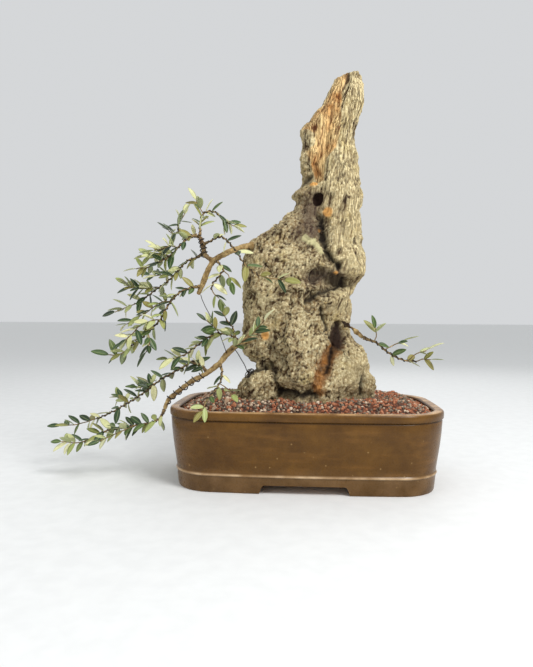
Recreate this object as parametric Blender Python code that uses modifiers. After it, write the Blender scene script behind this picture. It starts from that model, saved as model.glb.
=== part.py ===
"""Olive bonsai growing in a low glazed pot.

Metres, +Z up. The pot's front faces -Y. Everything is modelled about the middle of the pot's base, on
the surface that the pot stands on, and then carried by one empty that puts the whole tree's footprint
over the origin.
"""

import math
import random

import bmesh
import bpy
from mathutils import Matrix, Vector, noise
from mathutils.bvhtree import BVHTree

MM = 0.001
GAP = 0.35 * MM                     # clearance between pieces that touch

# Pot, outline sizes at its corners; the sides bow out beyond them
RIM_WIDTH = 420 * MM
RIM_DEPTH = 256 * MM
BASE_WIDTH = 392 * MM
BASE_DEPTH = 228 * MM
POT_HEIGHT = 122 * MM
CORNER = 69 * MM
BOW = 7.8 * MM                      # how far a long side bows out at its middle
SHORT_BOW = 0.6                     # share of the bow that a short side has
RIM_BAND = 14 * MM                  # height of the band under the lip
LIP = 15 * MM                       # width of the flat lip
LIP_FOOT = 113 * MM                 # where the wall thickens into the lip
UNDER_LIP = 5 * MM                  # how far the soil's top stands in from the wall there
WALL = 10 * MM
FLOOR = 20 * MM                     # height of the inside floor
RECESS = 14.5 * MM                  # height of the hollow under the floor
FOOT_RING = 13 * MM
RIDGE_HEIGHT = 27 * MM
NOTCH_HEIGHT = 13.5 * MM
NOTCH_WIDTH = 134 * MM
SIDE_NOTCH_WIDTH = 70 * MM
DRAIN_RADIUS = 12 * MM
DRAIN_OFFSET = 95 * MM

# Soil
SOIL_EDGE = 115 * MM                # height at the wall
SOIL_MOUND = 16 * MM                # rise from the wall to the roots
GRAIN_PITCH = 16 * MM
GRAIN_RISE = 2.4 * MM

# Trunk: outline seen from the front and from the side, as (height, offset) pairs in millimetres
TRUNK_LEFT = ((130, -114), (150, -109), (168, -96), (177, -83), (184, -82), (198, -100), (225, -105), (255, -99),
              (310, -101), (345, -104), (380, -100), (396, -84), (408, -58), (424, -38), (448, -18), (464, -24),
              (478, -16), (492, -7), (512, -12), (545, -9), (575, -11), (596, 5), (620, 26), (650, 41), (668, 62))
TRUNK_RIGHT = ((130, 110), (150, 115), (185, 106), (205, 97), (224, 86), (238, 74), (262, 74), (298, 73),
               (315, 85), (340, 99), (372, 97), (410, 94), (438, 89), (458, 97), (472, 95), (490, 87),
               (530, 83), (552, 81), (562, 80), (575, 81), (590, 88), (620, 95), (650, 93), (668, 84))
TRUNK_FRONT = ((130, -92), (160, -86), (200, -76), (250, -70), (300, -74), (345, -66), (400, -52), (440, -42),
               (490, -36), (560, -28), (620, -21), (668, -8))
TRUNK_BACK = ((130, 84), (170, 72), (230, 62), (300, 60), (350, 58), (400, 46), (440, 40), (490, 36),
              (560, 28), (620, 20), (668, 8))
TRUNK_FOOT = 97 * MM                # underside of the root block, in the soil
TRUNK_TOP = 668 * MM
SOIL_LINE = 139 * MM                # below this the root block goes straight down
RING_PITCH = 12 * MM
RING_SIDES = 34

# Furrows and hollows seen from the front: points as (x, height), then width and depth, in millimetres
FURROWS = {
    "deadwood channel": (((60, 652), (51, 625), (43, 600), (37, 575), (31, 552), (22, 530), (18, 505), (18, 484)),
                         9, 13),
    "under the knob": (((4, 492), (-10, 481)), 8, 8),
    "crotch": (((15, 572), (16, 552)), 7, 8),
    "crevice": (((22, 422), (24, 402), (27, 386), (34, 372), (41, 352), (52, 341)), 6.5, 12),
    "cavity": (((10, 325), (25, 330), (44, 324), (60, 320)), 11, 17),
    "slanting furrow": (((62, 318), (38, 309), (16, 298), (2, 286)), 8, 11),
    "crack": (((24, 277), (28, 261), (36, 246)), 6, 8),
    "heartwood streak": (((43, 214), (38, 196), (36, 180), (24, 160)), 9, 8),
    "left undercut": (((-98, 184), (-80, 181), (-62, 184)), 7, 10),
    "left root gap": (((-57, 188), (-46, 171), (-42, 153), (-40, 139)), 8, 15),
    "cave at the soil": (((-38, 143), (-10, 146), (16, 143)), 9, 24),
    "right root gap": (((93, 168), (90, 139)), 8, 13),
}
SWELLINGS = {
    "left shoulder": (((-70, 372), (-88, 330), (-84, 262)), 24, 9),
    "belly": (((-30, 360), (-35, 300), (-30, 240)), 22, 8),
    "fibrous column": (((38, 480), (62, 430), (72, 380), (76, 345)), 18, 8),
    "rolled lip": (((84, 330), (70, 308), (46, 293), (24, 279)), 9, 9),
    "right flank": (((70, 262), (82, 215), (84, 165)), 20, 8),
    "middle foot": (((-22, 226), (-20, 180)), 18, 9),
    "left foot": (((-84, 172), (-86, 140)), 14, 6),
    "upper knob": (((0, 566), (2, 560)), 9, 7),
    "lower knob": (((-14, 468), (-12, 462)), 9, 8),
    "cut knot": (((34, 431), (34, 428)), 7, 5),
}
# Deep hollows cut into the wood: middle, half sizes and lean in degrees
HOLLOWS = {
    "lower_hollow": ((56, -78, 233), (12, 36, 21), 12),
    "middle_hollow": ((17, -44, 452), (8, 18, 10), 0),
    "left_recess": ((14, -34, 505), (6, 14, 15), 4),
}

# Bare boughs, grown from the trunk: points as (x, y, height, radius) in millimetres
BOUGHS = {
    "upper bough": ((-66, -18, 384, 9), (-84, -32, 380, 6.5), (-104, -45, 373, 5.6), (-127, -55, 363, 5.4),
                    (-147, -60, 349, 5.4), (-158, -58, 328, 5), (-165, -55, 311, 4.8), (-172, -53, 297, 4.6)),
    "riser": ((-145, -60, 350, 4.6), (-160, -56, 360, 4.6), (-164, -52, 376, 4.2), (-170, -48, 392, 3.6)),
    "lower bough": ((-60, -36, 246, 9), (-79, -50, 234, 7), (-102, -70, 221, 5.4), (-118, -80, 208, 5),
                    (-131, -84, 192, 5), (-151, -84, 175, 4.8), (-174, -80, 163, 4.6), (-197, -74, 146, 4.4),
                    (-215, -70, 131, 4.2), (-222, -68, 115, 3.8)),
    "right bough": ((44, -26, 266, 9), (54, -46, 258, 7), (64, -62, 249, 5), (78, -72, 240, 4.4), (88, -78, 231, 4)),
    "cut stub": ((-26, -20, 390, 7), (-34, -38, 398, 6), (-42, -52, 404, 5), (-48, -60, 406, 4.4)),
}

# Leafy sprays: each twig is (points in millimetres, thickness at root, number of leaf pairs)
SPRAYS = {
    "spray_upper_left": (
        (((-170, -48, 392), (-180, -52, 391), (-190, -58, 384), (-202, -62, 371), (-215, -64, 358), (-223, -64, 353),
          (-236, -66, 346), (-251, -70, 339), (-266, -74, 337)), 3.0, 4),
        (((-215, -64, 358), (-228, -52, 362), (-246, -42, 361), (-262, -38, 360)), 1.7, 2),
        (((-202, -62, 371), (-212, -76, 372), (-224, -84, 366), (-234, -88, 364)), 1.6, 2),
    ),
    "spray_upper_side": (
        (((-162, -52, 364), (-178, -42, 357), (-196, -34, 351), (-220, -26, 328), (-246, -16, 310), (-279, -10, 289),
          (-306, -6, 277), (-324, -4, 270)), 3.0, 5),
        (((-246, -16, 310), (-263, -30, 309), (-280, -38, 309), (-293, -42, 315)), 1.7, 3),
        (((-220, -26, 328), (-236, -8, 334), (-252, 4, 332), (-268, 10, 334)), 1.6, 2),
    ),
    "spray_upper_front": (
        (((-166, -56, 311), (-178, -70, 307), (-192, -80, 302), (-207, -88, 286), (-223, -92, 257), (-241, -94, 238),
          (-264, -92, 219), (-287, -88, 203), (-306, -86, 202)), 3.0, 6),
        (((-207, -88, 286), (-229, -74, 283), (-252, -62, 269), (-271, -54, 260), (-289, -50, 250)), 1.8, 3),
        (((-223, -92, 257), (-235, -104, 255), (-249, -112, 247), (-264, -116, 232), (-276, -118, 222)), 1.8, 3),
        (((-241, -94, 238), (-236, -104, 222), (-240, -110, 208)), 1.6, 1),
    ),
    "spray_crown": (
        (((-170, -48, 392), (-170, -40, 414), (-167, -34, 430), (-151, -28, 434), (-139, -24, 425), (-130, -20, 418),
          (-120, -16, 413)), 2.4, 4),
        (((-167, -34, 430), (-172, -40, 440), (-177, -44, 450)), 1.6, 1),
    ),
    "spray_crown_back": (
        (((-168, -48, 388), (-188, -34, 396), (-207, -24, 403), (-212, -18, 413), (-208, -13, 424),
          (-203, -10, 434)), 2.2, 2),
        (((-207, -24, 403), (-220, -12, 402), (-232, -4, 408)), 1.6, 1),
    ),
    "spray_middle": (
        (((-164, -54, 376), (-146, -68, 383), (-129, -78, 385), (-115, -84, 372), (-104, -90, 361), (-96, -94, 346),
          (-84, -96, 334), (-67, -97, 324), (-50, -97, 320), (-32, -98, 318)), 2.4, 6),
    ),
    "spray_hanging": (
        (((-142, -62, 351), (-134, -76, 345), (-127, -84, 334), (-134, -88, 322), (-143, -90, 309), (-140, -90, 298),
          (-132, -90, 290)), 2.2, 4),
        (((-127, -84, 334), (-118, -94, 326), (-112, -100, 314)), 1.5, 1),
    ),
    "spray_low_end": (
        (((-222, -68, 115), (-230, -66, 101), (-246, -64, 93), (-270, -62, 88), (-296, -62, 83), (-320, -62, 78),
          (-342, -62, 66), (-365, -62, 58), (-393, -62, 59)), 3.0, 7),
        (((-270, -62, 88), (-286, -78, 82), (-304, -88, 74), (-318, -94, 68)), 1.8, 2),
    ),
    "spray_low_top": (
        (((-103, -68, 222), (-113, -92, 233), (-129, -102, 237), (-147, -106, 230), (-163, -108, 218), (-178, -108, 206),
          (-193, -106, 200), (-209, -102, 197)), 2.6, 5),
        (((-129, -102, 237), (-138, -110, 248), (-148, -114, 256)), 1.6, 1),
    ),
    "spray_low_back": (
        (((-151, -84, 175), (-164, -64, 187), (-179, -52, 191), (-192, -44, 184), (-215, -38, 172), (-248, -34, 151),
          (-267, -30, 136), (-294, -26, 119), (-322, -24, 103), (-356, -22, 88), (-389, -22, 79), (-412, -22, 77)), 3.0, 9),
        (((-248, -34, 151), (-262, -16, 150), (-278, -2, 142), (-292, 8, 140)), 1.8, 3),
        (((-294, -26, 119), (-306, -10, 124), (-322, 2, 124)), 1.7, 2),
    ),
    "spray_low_front": (
        (((-131, -84, 192), (-126, -99, 176), (-128, -108, 162), (-136, -116, 149), (-143, -122, 140), (-147, -128, 133),
          (-149, -136, 124)), 2.2, 4),
        (((-128, -108, 162), (-116, -120, 156), (-106, -130, 148)), 1.5, 1),
    ),
    "shoot_straight": (
        (((-116, -80, 211), (-101, -102, 220), (-85, -112, 231), (-72, -118, 244), (-60, -122, 257)), 1.9, 2),
    ),
    "spray_by_trunk": (
        (((-102, -70, 221), (-112, -50, 232), (-118, -40, 246), (-128, -34, 258), (-136, -30, 270)), 2.0, 3),
    ),
    "spray_right": (
        (((88, -78, 231), (98, -82, 228), (113, -86, 220), (128, -86, 207), (146, -84, 199), (164, -80, 196),
          (178, -78, 199), (190, -77, 199)), 3.0, 4),
        (((104, -84, 224), (106, -90, 236), (104, -94, 246)), 1.6, 1),
        (((120, -86, 214), (134, -92, 222), (146, -96, 228)), 1.6, 1),
        (((154, -82, 197), (166, -90, 208), (180, -94, 214)), 1.6, 1),
    ),
}
TWIG_TIP = 1.0 * MM                 # twig thickness at its tip, as a radius
LEAF_LENGTH = (18 * MM, 28 * MM)
LEAF_WIDTH = 0.29                   # of its length
LEAF_THICKNESS = 0.75 * MM
LEAF_TRIES = 30
SHEATH = 8 * MM                     # bare stretch at a twig's root
TWIG_STEP = 11 * MM                 # distance between a twig's points

WIRE_RADIUS = 0.9 * MM
WIRE_PITCH = 13 * MM
WIRE_SLACK = 1.0 * MM               # from the bark to the wire wound on it
# Training wires: bough, and the stretch that each covers, as shares of its length
TRAINING_WIRES = {
    "wire_upper": ("riser", 0.36, 0.74),
    "wire_lower": ("lower bough", 0.60, 0.95),
}
# From inside the upper stub to inside the lower bough; both ends are cut back to the bark
GUY_WIRE = ((-169, -54, 303), (-162, -60, 285), (-148, -70, 262), (-132, -79, 234), (-121, -82, 205))
GUY_RADIUS = 0.7 * MM

SCREEN_SIZE = 38 * MM
SCREEN_THICKNESS = 1.0 * MM

COLOURS = {
    "pot": ((0.14, 0.07, 0.02), 0.35),
    "soil": ((0.32, 0.15, 0.09), 0.9),
    "trunk": ((0.48, 0.40, 0.25), 0.85),
    "spray": ((0.10, 0.20, 0.05), 0.55),
    "wire": ((0.02, 0.02, 0.018), 0.5),
    "screen": ((0.02, 0.02, 0.02), 0.6),
}


def clear_scene():
    for thing in list(bpy.data.objects):
        bpy.data.objects.remove(thing, do_unlink=True)


def collection(name):
    made = bpy.data.collections.new(name)
    bpy.context.scene.collection.children.link(made)
    return made


def material(kind):
    found = bpy.data.materials.get(kind)
    if found:
        return found
    made = bpy.data.materials.new(kind)
    made.use_nodes = True
    colour, roughness = COLOURS[kind]
    shader = made.node_tree.nodes["Principled BSDF"]
    shader.inputs["Base Color"].default_value = (*colour, 1)
    shader.inputs["Roughness"].default_value = roughness
    shader.inputs["Metallic"].default_value = 0.0
    made.diffuse_color = (*colour, 1)
    return made


def mesh_object(name, bm, group):
    bmesh.ops.recalc_face_normals(bm, faces=bm.faces)
    mesh = bpy.data.meshes.new(name)
    bm.to_mesh(mesh)
    bm.free()
    made = bpy.data.objects.new(name, mesh)
    group.objects.link(made)
    return made


def loft(name, rings, group):
    """A closed solid through rings of equal counts, with both ends capped."""
    bm = bmesh.new()
    loops = [[bm.verts.new(point) for point in ring] for ring in rings]
    for lower, upper in zip(loops, loops[1:]):
        count = len(lower)
        for i in range(count):
            j = (i + 1) % count
            bm.faces.new((lower[i], lower[j], upper[j], upper[i]))
    bm.faces.new(list(reversed(loops[0])))
    bm.faces.new(loops[-1])
    return mesh_object(name, bm, group)


def evaluated_mesh(thing):
    bpy.context.view_layer.update()
    graph = bpy.context.evaluated_depsgraph_get()
    return bpy.data.meshes.new_from_object(thing.evaluated_get(graph))


def apply_modifiers(thing):
    mesh = evaluated_mesh(thing)
    thing.modifiers.clear()
    thing.data = mesh


def boolean(target, operation, solver, operand=None, operands=None):
    cut = target.modifiers.new(operation.lower(), "BOOLEAN")
    cut.operation = operation
    cut.solver = solver
    if operands:
        cut.operand_type = "COLLECTION"
        cut.collection = operands
    else:
        cut.object = operand


def keep_largest_body(mesh):
    """Drops the loose scraps that a union can leave."""
    bm = bmesh.new()
    bm.from_mesh(mesh)
    unseen = set(bm.verts)
    bodies = []
    while unseen:
        body = {unseen.pop()}
        edge_of_search = list(body)
        while edge_of_search:
            vertex = edge_of_search.pop()
            for edge in vertex.link_edges:
                other = edge.other_vert(vertex)
                if other in unseen:
                    unseen.discard(other)
                    body.add(other)
                    edge_of_search.append(other)
        bodies.append(body)
    bodies.sort(key=len)
    scraps = [vertex for body in bodies[:-1] for vertex in body]
    bmesh.ops.delete(bm, geom=scraps, context="VERTS")
    bm.to_mesh(mesh)
    bm.free()


def remove_all(group):
    for thing in list(group.objects):
        bpy.data.objects.remove(thing, do_unlink=True)
    bpy.data.collections.remove(group)


def as_cutter(thing):
    thing.hide_render = True
    thing.display_type = "WIRE"
    return thing


def interpolate(pairs, height):
    """Smooth value of an outline given as (height, offset) pairs, both in millimetres."""
    z = height / MM
    if z <= pairs[0][0]:
        return pairs[0][1] * MM
    if z >= pairs[-1][0]:
        return pairs[-1][1] * MM
    for (z0, v0), (z1, v1) in zip(pairs, pairs[1:]):
        if z <= z1:
            share = (z - z0) / (z1 - z0)
            share = share * share * (3 - 2 * share)
            return (v0 + (v1 - v0) * share) * MM
    return pairs[-1][1] * MM


def smooth_path(points, step):
    """Points every step along a smooth curve through the given ones; each point may carry a radius."""
    rows = [[value * MM for value in point] for point in points]
    size = len(rows[0])
    first = [2 * a - b for a, b in zip(rows[0], rows[1])]
    last = [2 * a - b for a, b in zip(rows[-1], rows[-2])]
    padded = [first] + rows + [last]
    path = []
    for p0, p1, p2, p3 in zip(padded, padded[1:], padded[2:], padded[3:]):
        length = math.dist(p1[:3], p2[:3])
        count = max(1, round(length / step))
        for i in range(count):
            t = i / count
            row = []
            for k in range(size):
                a, b, c, d = p0[k], p1[k], p2[k], p3[k]
                row.append(0.5 * (2 * b + (c - a) * t + (2 * a - 5 * b + 4 * c - d) * t * t
                                  + (3 * b - a - 3 * c + d) * t ** 3))
            path.append(row)
    path.append(rows[-1])
    return path


def tube(name, path, radii, group, sides_level=0):
    """A round stick along a path of points, with a radius at each, as a closed mesh."""
    curve = bpy.data.curves.new(name, "CURVE")
    curve.dimensions = "3D"
    curve.bevel_depth = 1.0
    curve.bevel_resolution = sides_level
    curve.use_fill_caps = True
    spline = curve.splines.new("POLY")
    spline.points.add(len(path) - 1)
    for point, place, radius in zip(spline.points, path, radii):
        point.co = (*place, 1)
        point.radius = radius
    drawn = bpy.data.objects.new(name + "_curve", curve)
    group.objects.link(drawn)
    mesh = evaluated_mesh(drawn)
    bpy.data.objects.remove(drawn, do_unlink=True)
    bm = bmesh.new()
    bm.from_mesh(mesh)
    bmesh.ops.remove_doubles(bm, verts=bm.verts, dist=0.01 * MM)
    return mesh_object(name, bm, group)


# Pot

def rounded_outline(width, depth, corner, height, bow=BOW):
    """Rounded rectangle whose sides bow outwards, as a ring of points at one height."""
    half_x, half_y = width / 2, depth / 2
    flat_x, flat_y = half_x - corner, half_y - corner
    ring = []
    for quarter, (sx, sy) in enumerate(((1, 1), (-1, 1), (-1, -1), (1, -1))):
        for step in range(6):
            angle = math.pi / 2 * (quarter + step / 5)
            ring.append([sx * flat_x + corner * math.cos(angle), sy * flat_y + corner * math.sin(angle)])
        if quarter % 2 == 0:
            ring += [[sx * flat_x * (1 - 2 * share), sy * half_y] for share in (0.2, 0.4, 0.6, 0.8)]
        else:
            ring += [[sx * half_x, sy * flat_y * (1 - 2 * share)] for share in (0.33, 0.67)]
    placed = []
    for x, y in ring:
        out_y = math.copysign(bow * max(0, 1 - (x / half_x) ** 2), y)
        out_x = math.copysign(SHORT_BOW * bow * max(0, 1 - (y / half_y) ** 2), x)
        placed.append(Vector((x + out_x, y + out_y, height)))
    return placed


def pot_ring(grow, height):
    """Ring of the pot's wall: grow 0 is the base outline and 1 the rim outline."""
    width = BASE_WIDTH + (RIM_WIDTH - BASE_WIDTH) * grow
    depth = BASE_DEPTH + (RIM_DEPTH - BASE_DEPTH) * grow
    return width, depth, CORNER * (0.75 + 0.25 * grow), height


def inset_ring(grow, inset, height):
    width, depth, corner, _ = pot_ring(grow, height)
    return rounded_outline(width - 2 * inset, depth - 2 * inset, max(20 * MM, corner - inset), height)


def inner_wall(height, clearance=0.0):
    """Inside face of the pot at a height, moved inwards by a clearance."""
    grow = 0.1 + 0.78 * (height - FLOOR) / (POT_HEIGHT - FLOOR)
    return inset_ring(grow, WALL + clearance, height)


def make_pot(group, cutters):
    under_rim = POT_HEIGHT - RIM_BAND
    rings = [
        inset_ring(0.0, FOOT_RING, RECESS),
        inset_ring(0.0, FOOT_RING, 0.0),
        inset_ring(0.0, 1.5 * MM, 0.0),
        inset_ring(0.0, 0.0, 2 * MM),
        inset_ring(0.17, 0.0, RIDGE_HEIGHT - 2.5 * MM),
        inset_ring(0.2, -1.2 * MM, RIDGE_HEIGHT - 1 * MM),
        inset_ring(0.2, -1.2 * MM, RIDGE_HEIGHT + 1 * MM),
        inset_ring(0.2, 0.6 * MM, RIDGE_HEIGHT + 2.5 * MM),
        inset_ring(0.62, 0.0, 72 * MM),
        inset_ring(0.9, 0.6 * MM, under_rim - 1.5 * MM),
        inset_ring(0.9, 1.8 * MM, under_rim),
        inset_ring(1.0, 0.8 * MM, under_rim + 1.5 * MM),
        inset_ring(1.0, 0.0, POT_HEIGHT - 4 * MM),
        inset_ring(1.0, 1.3 * MM, POT_HEIGHT - 1 * MM),
        inset_ring(1.0, 4 * MM, POT_HEIGHT),
        inset_ring(1.0, LIP - 3 * MM, POT_HEIGHT),
        inset_ring(1.0, LIP, POT_HEIGHT - 2 * MM),
        inner_wall(LIP_FOOT),
        inner_wall(FLOOR + 4 * MM),
        inset_ring(0.1, WALL + 5 * MM, FLOOR),
    ]
    pot = loft("pot", rings, group)
    pot.data.materials.append(material("pot"))
    slant = 6 * MM
    for name, half, turn in (("front_notch", NOTCH_WIDTH / 2, 0), ("side_notch", SIDE_NOTCH_WIDTH / 2, 90)):
        outline = ((-half - 2 * MM, -5 * MM), (-half, 0), (-half + 0.7 * slant, NOTCH_HEIGHT - 3 * MM),
                   (-half + 1.4 * slant, NOTCH_HEIGHT), (half - 1.4 * slant, NOTCH_HEIGHT),
                   (half - 0.7 * slant, NOTCH_HEIGHT - 3 * MM), (half, 0), (half + 2 * MM, -5 * MM))
        reach = 240 * MM
        rings = [[Vector((x, y, z)) for x, z in outline] for y in (-reach, reach)]
        cutter = as_cutter(loft(name, rings, cutters))
        cutter.rotation_euler = (0, 0, math.radians(turn))
        boolean(pot, "DIFFERENCE", "EXACT", cutter)
    for side in (-1, 1):
        bm = bmesh.new()
        bmesh.ops.create_cone(bm, cap_ends=True, segments=14, radius1=DRAIN_RADIUS, radius2=DRAIN_RADIUS,
                              depth=2 * FLOOR)
        cutter = as_cutter(mesh_object("drain_hole", bm, cutters))
        cutter.location = (side * DRAIN_OFFSET, 0, FLOOR)
        boolean(pot, "DIFFERENCE", "EXACT", cutter)
    return pot


def make_screen(name, side, group):
    """Square of plastic mesh that lies over a drainage hole, under the soil."""
    cells = 5
    bm = bmesh.new()
    bmesh.ops.create_grid(bm, x_segments=cells, y_segments=cells, size=SCREEN_SIZE / 2)
    bm.faces.ensure_lookup_table()
    cell = SCREEN_SIZE / cells
    openings = [face for face in bm.faces
                if all(round(abs(value) / cell) == 1 for value in face.calc_center_median().xy)]
    bmesh.ops.delete(bm, geom=openings, context="FACES")
    screen = mesh_object(name, bm, group)
    screen.location = (side * DRAIN_OFFSET, 0, FLOOR + GAP)
    thick = screen.modifiers.new("thickness", "SOLIDIFY")
    thick.thickness = SCREEN_THICKNESS
    thick.offset = 1
    screen.data.materials.append(material("screen"))
    return screen


# Trunk

def frozen(height):
    return max(height, SOIL_LINE)


def near_line(x, z, line, width):
    """How strongly a line of (x, height) points acts at a place: 1 on it, fading to 0 beside it."""
    place = Vector((x, z))
    nearest = math.inf
    for start, end in zip(line, line[1:]):
        a = Vector(start) * MM
        b = Vector(end) * MM
        along = (place - a).dot(b - a) / (b - a).length_squared
        nearest = min(nearest, (place - (a + (b - a) * min(1, max(0, along)))).length)
    return math.exp(-(nearest / (width * MM)) ** 2)


def lobes(angle, height):
    """Root lobes and muscle-like swellings of the old wood, as a factor on the radius."""
    low = max(0, 1 - (height - SOIL_LINE) / (120 * MM))
    high = min(1, max(0, (height - 420 * MM) / (80 * MM)))
    twist = height * 9
    wave = (0.05 + 0.05 * low) * math.cos(5 * angle + 1.2 - 0.4 * twist)
    wave += (0.045 + 0.03 * high) * math.cos(3 * angle - 0.8 + twist)
    wave += 0.03 * math.cos(8 * angle + 2.1 - twist)
    return 1 + wave


def trunk_ring(height, grow=0.0):
    level = frozen(height)
    left, right = interpolate(TRUNK_LEFT, level), interpolate(TRUNK_RIGHT, level)
    front, back = interpolate(TRUNK_FRONT, level), interpolate(TRUNK_BACK, level)
    shape = []
    for step in range(RING_SIDES):
        angle = 2 * math.pi * step / RING_SIDES
        radius = lobes(angle, level)
        grain = Vector((3.1 * math.cos(angle), 3.1 * math.sin(angle), level / (30 * MM)))
        radius += 0.09 * noise.noise(grain) + 0.05 * noise.noise(grain * 2.3)
        shape.append(Vector((radius * math.cos(angle), radius * math.sin(angle))))
    low_x, high_x = min(p.x for p in shape), max(p.x for p in shape)
    low_y, high_y = min(p.y for p in shape), max(p.y for p in shape)
    centre = Vector(((left + right) / 2, (front + back) / 2))
    ring = []
    for p in shape:
        x = left + (right - left) * (p.x - low_x) / (high_x - low_x)
        y = front + (back - front) * (p.y - low_y) / (high_y - low_y)
        flat = Vector((x, y))
        inward = centre - flat
        reach = inward.length
        facing = min(1, max(0, (centre.y - y) / (centre.y - front) * 1.6))
        push = -grow
        for line, width, depth in FURROWS.values():
            push += facing * depth * MM * near_line(x, level, line, width)
        for line, width, rise in SWELLINGS.values():
            push -= facing * rise * MM * near_line(x, level, line, width)
        push = min(push, 0.5 * reach)
        flat += inward.normalized() * push
        ring.append(Vector((flat.x, flat.y, height)))
    return ring


def make_trunk(group, cutters):
    count = round((TRUNK_TOP - SOIL_LINE) / RING_PITCH)
    heights = [TRUNK_FOOT, SOIL_LINE - 5 * MM]
    heights += [SOIL_LINE + (TRUNK_TOP - SOIL_LINE) * i / count for i in range(count + 1)]
    trunk = loft("trunk", [trunk_ring(height) for height in heights], group)
    trunk.data.materials.append(material("trunk"))
    for name, (middle, half, lean) in HOLLOWS.items():
        bm = bmesh.new()
        bmesh.ops.create_icosphere(bm, subdivisions=2, radius=1)
        cutter = as_cutter(mesh_object(name, bm, cutters))
        place = Matrix.Translation(Vector(middle) * MM)
        turn = Matrix.Rotation(math.radians(lean), 4, "Y")
        size = Matrix.Diagonal((*(value * MM for value in half), 1))
        cutter.data.transform(place @ turn @ size)
        boolean(trunk, "DIFFERENCE", "EXACT", cutter)
    apply_modifiers(trunk)
    grown = collection("grown")
    for name, points in BOUGHS.items():
        path = smooth_path(points, 9 * MM)
        tube(name, [p[:3] for p in path], [p[3] for p in path], grown, sides_level=1)
    boolean(trunk, "UNION", "MANIFOLD", operands=grown)
    apply_modifiers(trunk)
    remove_all(grown)
    return trunk


# Soil

def wall_distance(x, y):
    """Rough distance from a place in the soil to the pot's inner wall."""
    half_x = RIM_WIDTH / 2 - LIP
    half_y = RIM_DEPTH / 2 - LIP
    return min(half_x - abs(x), half_y - abs(y))


def soil_height(x, y):
    share = min(1, max(0, (wall_distance(x, y) - 4 * MM) / (36 * MM)))
    return SOIL_EDGE + SOIL_MOUND * share * share * (3 - 2 * share)


def make_soil(group, cutters):
    bottom = FLOOR + GAP + SCREEN_THICKNESS + GAP
    rings = [inner_wall(bottom, 5 * MM), inner_wall(bottom + 5 * MM, GAP), inner_wall(LIP_FOOT, GAP),
             inner_wall(LIP_FOOT, UNDER_LIP), inner_wall(LIP_FOOT, UNDER_LIP)]
    for point in rings[3]:
        point.z += 1 * MM
    for point in rings[4]:
        point.z = POT_HEIGHT + 60 * MM
    soil = loft("soil", rings, group)
    soil.data.materials.append(material("soil"))
    width, depth = RIM_WIDTH + 20 * MM, RIM_DEPTH + 20 * MM
    columns, rows = round(width / GRAIN_PITCH), round(depth / GRAIN_PITCH)
    bm = bmesh.new()
    bmesh.ops.create_grid(bm, x_segments=columns, y_segments=rows, size=0.5)
    draw = random.Random(7)
    for vertex in bm.verts:
        x, y = vertex.co.x * width, vertex.co.y * depth
        x += draw.uniform(-0.3, 0.3) * GRAIN_PITCH
        y += draw.uniform(-0.3, 0.3) * GRAIN_PITCH
        vertex.co = (x, y, soil_height(x, y) + draw.uniform(-1, 1) * GRAIN_RISE)
    border = [edge for edge in bm.edges if edge.is_boundary]
    sides = bmesh.ops.extrude_edge_only(bm, edges=border)
    for item in sides["geom"]:
        if isinstance(item, bmesh.types.BMVert):
            item.co.z = POT_HEIGHT + 120 * MM
    bmesh.ops.holes_fill(bm, edges=[edge for edge in bm.edges if edge.is_boundary])
    above = as_cutter(mesh_object("above_the_soil", bm, cutters))
    boolean(soil, "DIFFERENCE", "MANIFOLD", above)
    hole = [trunk_ring(SOIL_LINE, 2 * GAP) for _ in range(2)]
    for point in hole[0]:
        point.z = TRUNK_FOOT - 2 * GAP
    for point in hole[1]:
        point.z = POT_HEIGHT + 130 * MM
    boolean(soil, "DIFFERENCE", "MANIFOLD", as_cutter(loft("root_hole", hole, cutters)))
    return soil


# Leafy sprays

class Surroundings:
    """What a new twig or leaf has to stay clear of."""

    def __init__(self, solids):
        self.trees = []
        self.sticks = []
        self.add(solids)

    def add(self, solids):
        for thing in solids:
            bm = bmesh.new()
            bm.from_mesh(evaluated_mesh(thing))
            self.trees.append(BVHTree.FromBMesh(bm))
            bm.free()

    def surface_gap(self, place, reach):
        """Signed distance to the nearest solid, and the way out; nothing if none is within reach."""
        best = None
        for tree in self.trees:
            spot, normal, _, distance = tree.find_nearest(place, reach)
            if spot is None:
                continue
            signed = math.copysign(distance, (place - spot).dot(normal))
            if best is None or signed < best[0]:
                best = (signed, normal)
        return best

    def crosses(self, owner, start, end, radius):
        """Whether a stick would come too near a solid or another spray's sticks."""
        for share in (0.15, 0.4, 0.6, 0.8, 1.0):
            found = self.surface_gap(start.lerp(end, share), 20 * MM)
            if found and found[0] < radius + GAP:
                return True
        outer = start.lerp(end, 0.3)
        for other, a, b, thick in self.sticks:
            begin = outer if other == owner else start
            if segment_distance(begin, end, a, b) < 0.7 * radius + 0.8 * thick + GAP:
                return True
        return False


def segment_distance(p1, q1, p2, q2):
    """Shortest distance between two straight segments."""
    d1, d2, r = q1 - p1, q2 - p2, p1 - p2
    a, e, f = d1.dot(d1), d2.dot(d2), d2.dot(r)
    c, b = d1.dot(r), d1.dot(d2)
    spread = a * e - b * b
    s = min(1, max(0, (b * f - c * e) / spread)) if spread > 1e-16 else 0.0
    t = (b * s + f) / e
    if t < 0:
        t, s = 0.0, min(1, max(0, -c / a))
    elif t > 1:
        t, s = 1.0, min(1, max(0, (b - c) / a))
    return ((p1 + d1 * s) - (p2 + d2 * t)).length


def tip_radius(thickness, share):
    return thickness * MM / 2 + (TWIG_TIP - thickness * MM / 2) * share


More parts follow.
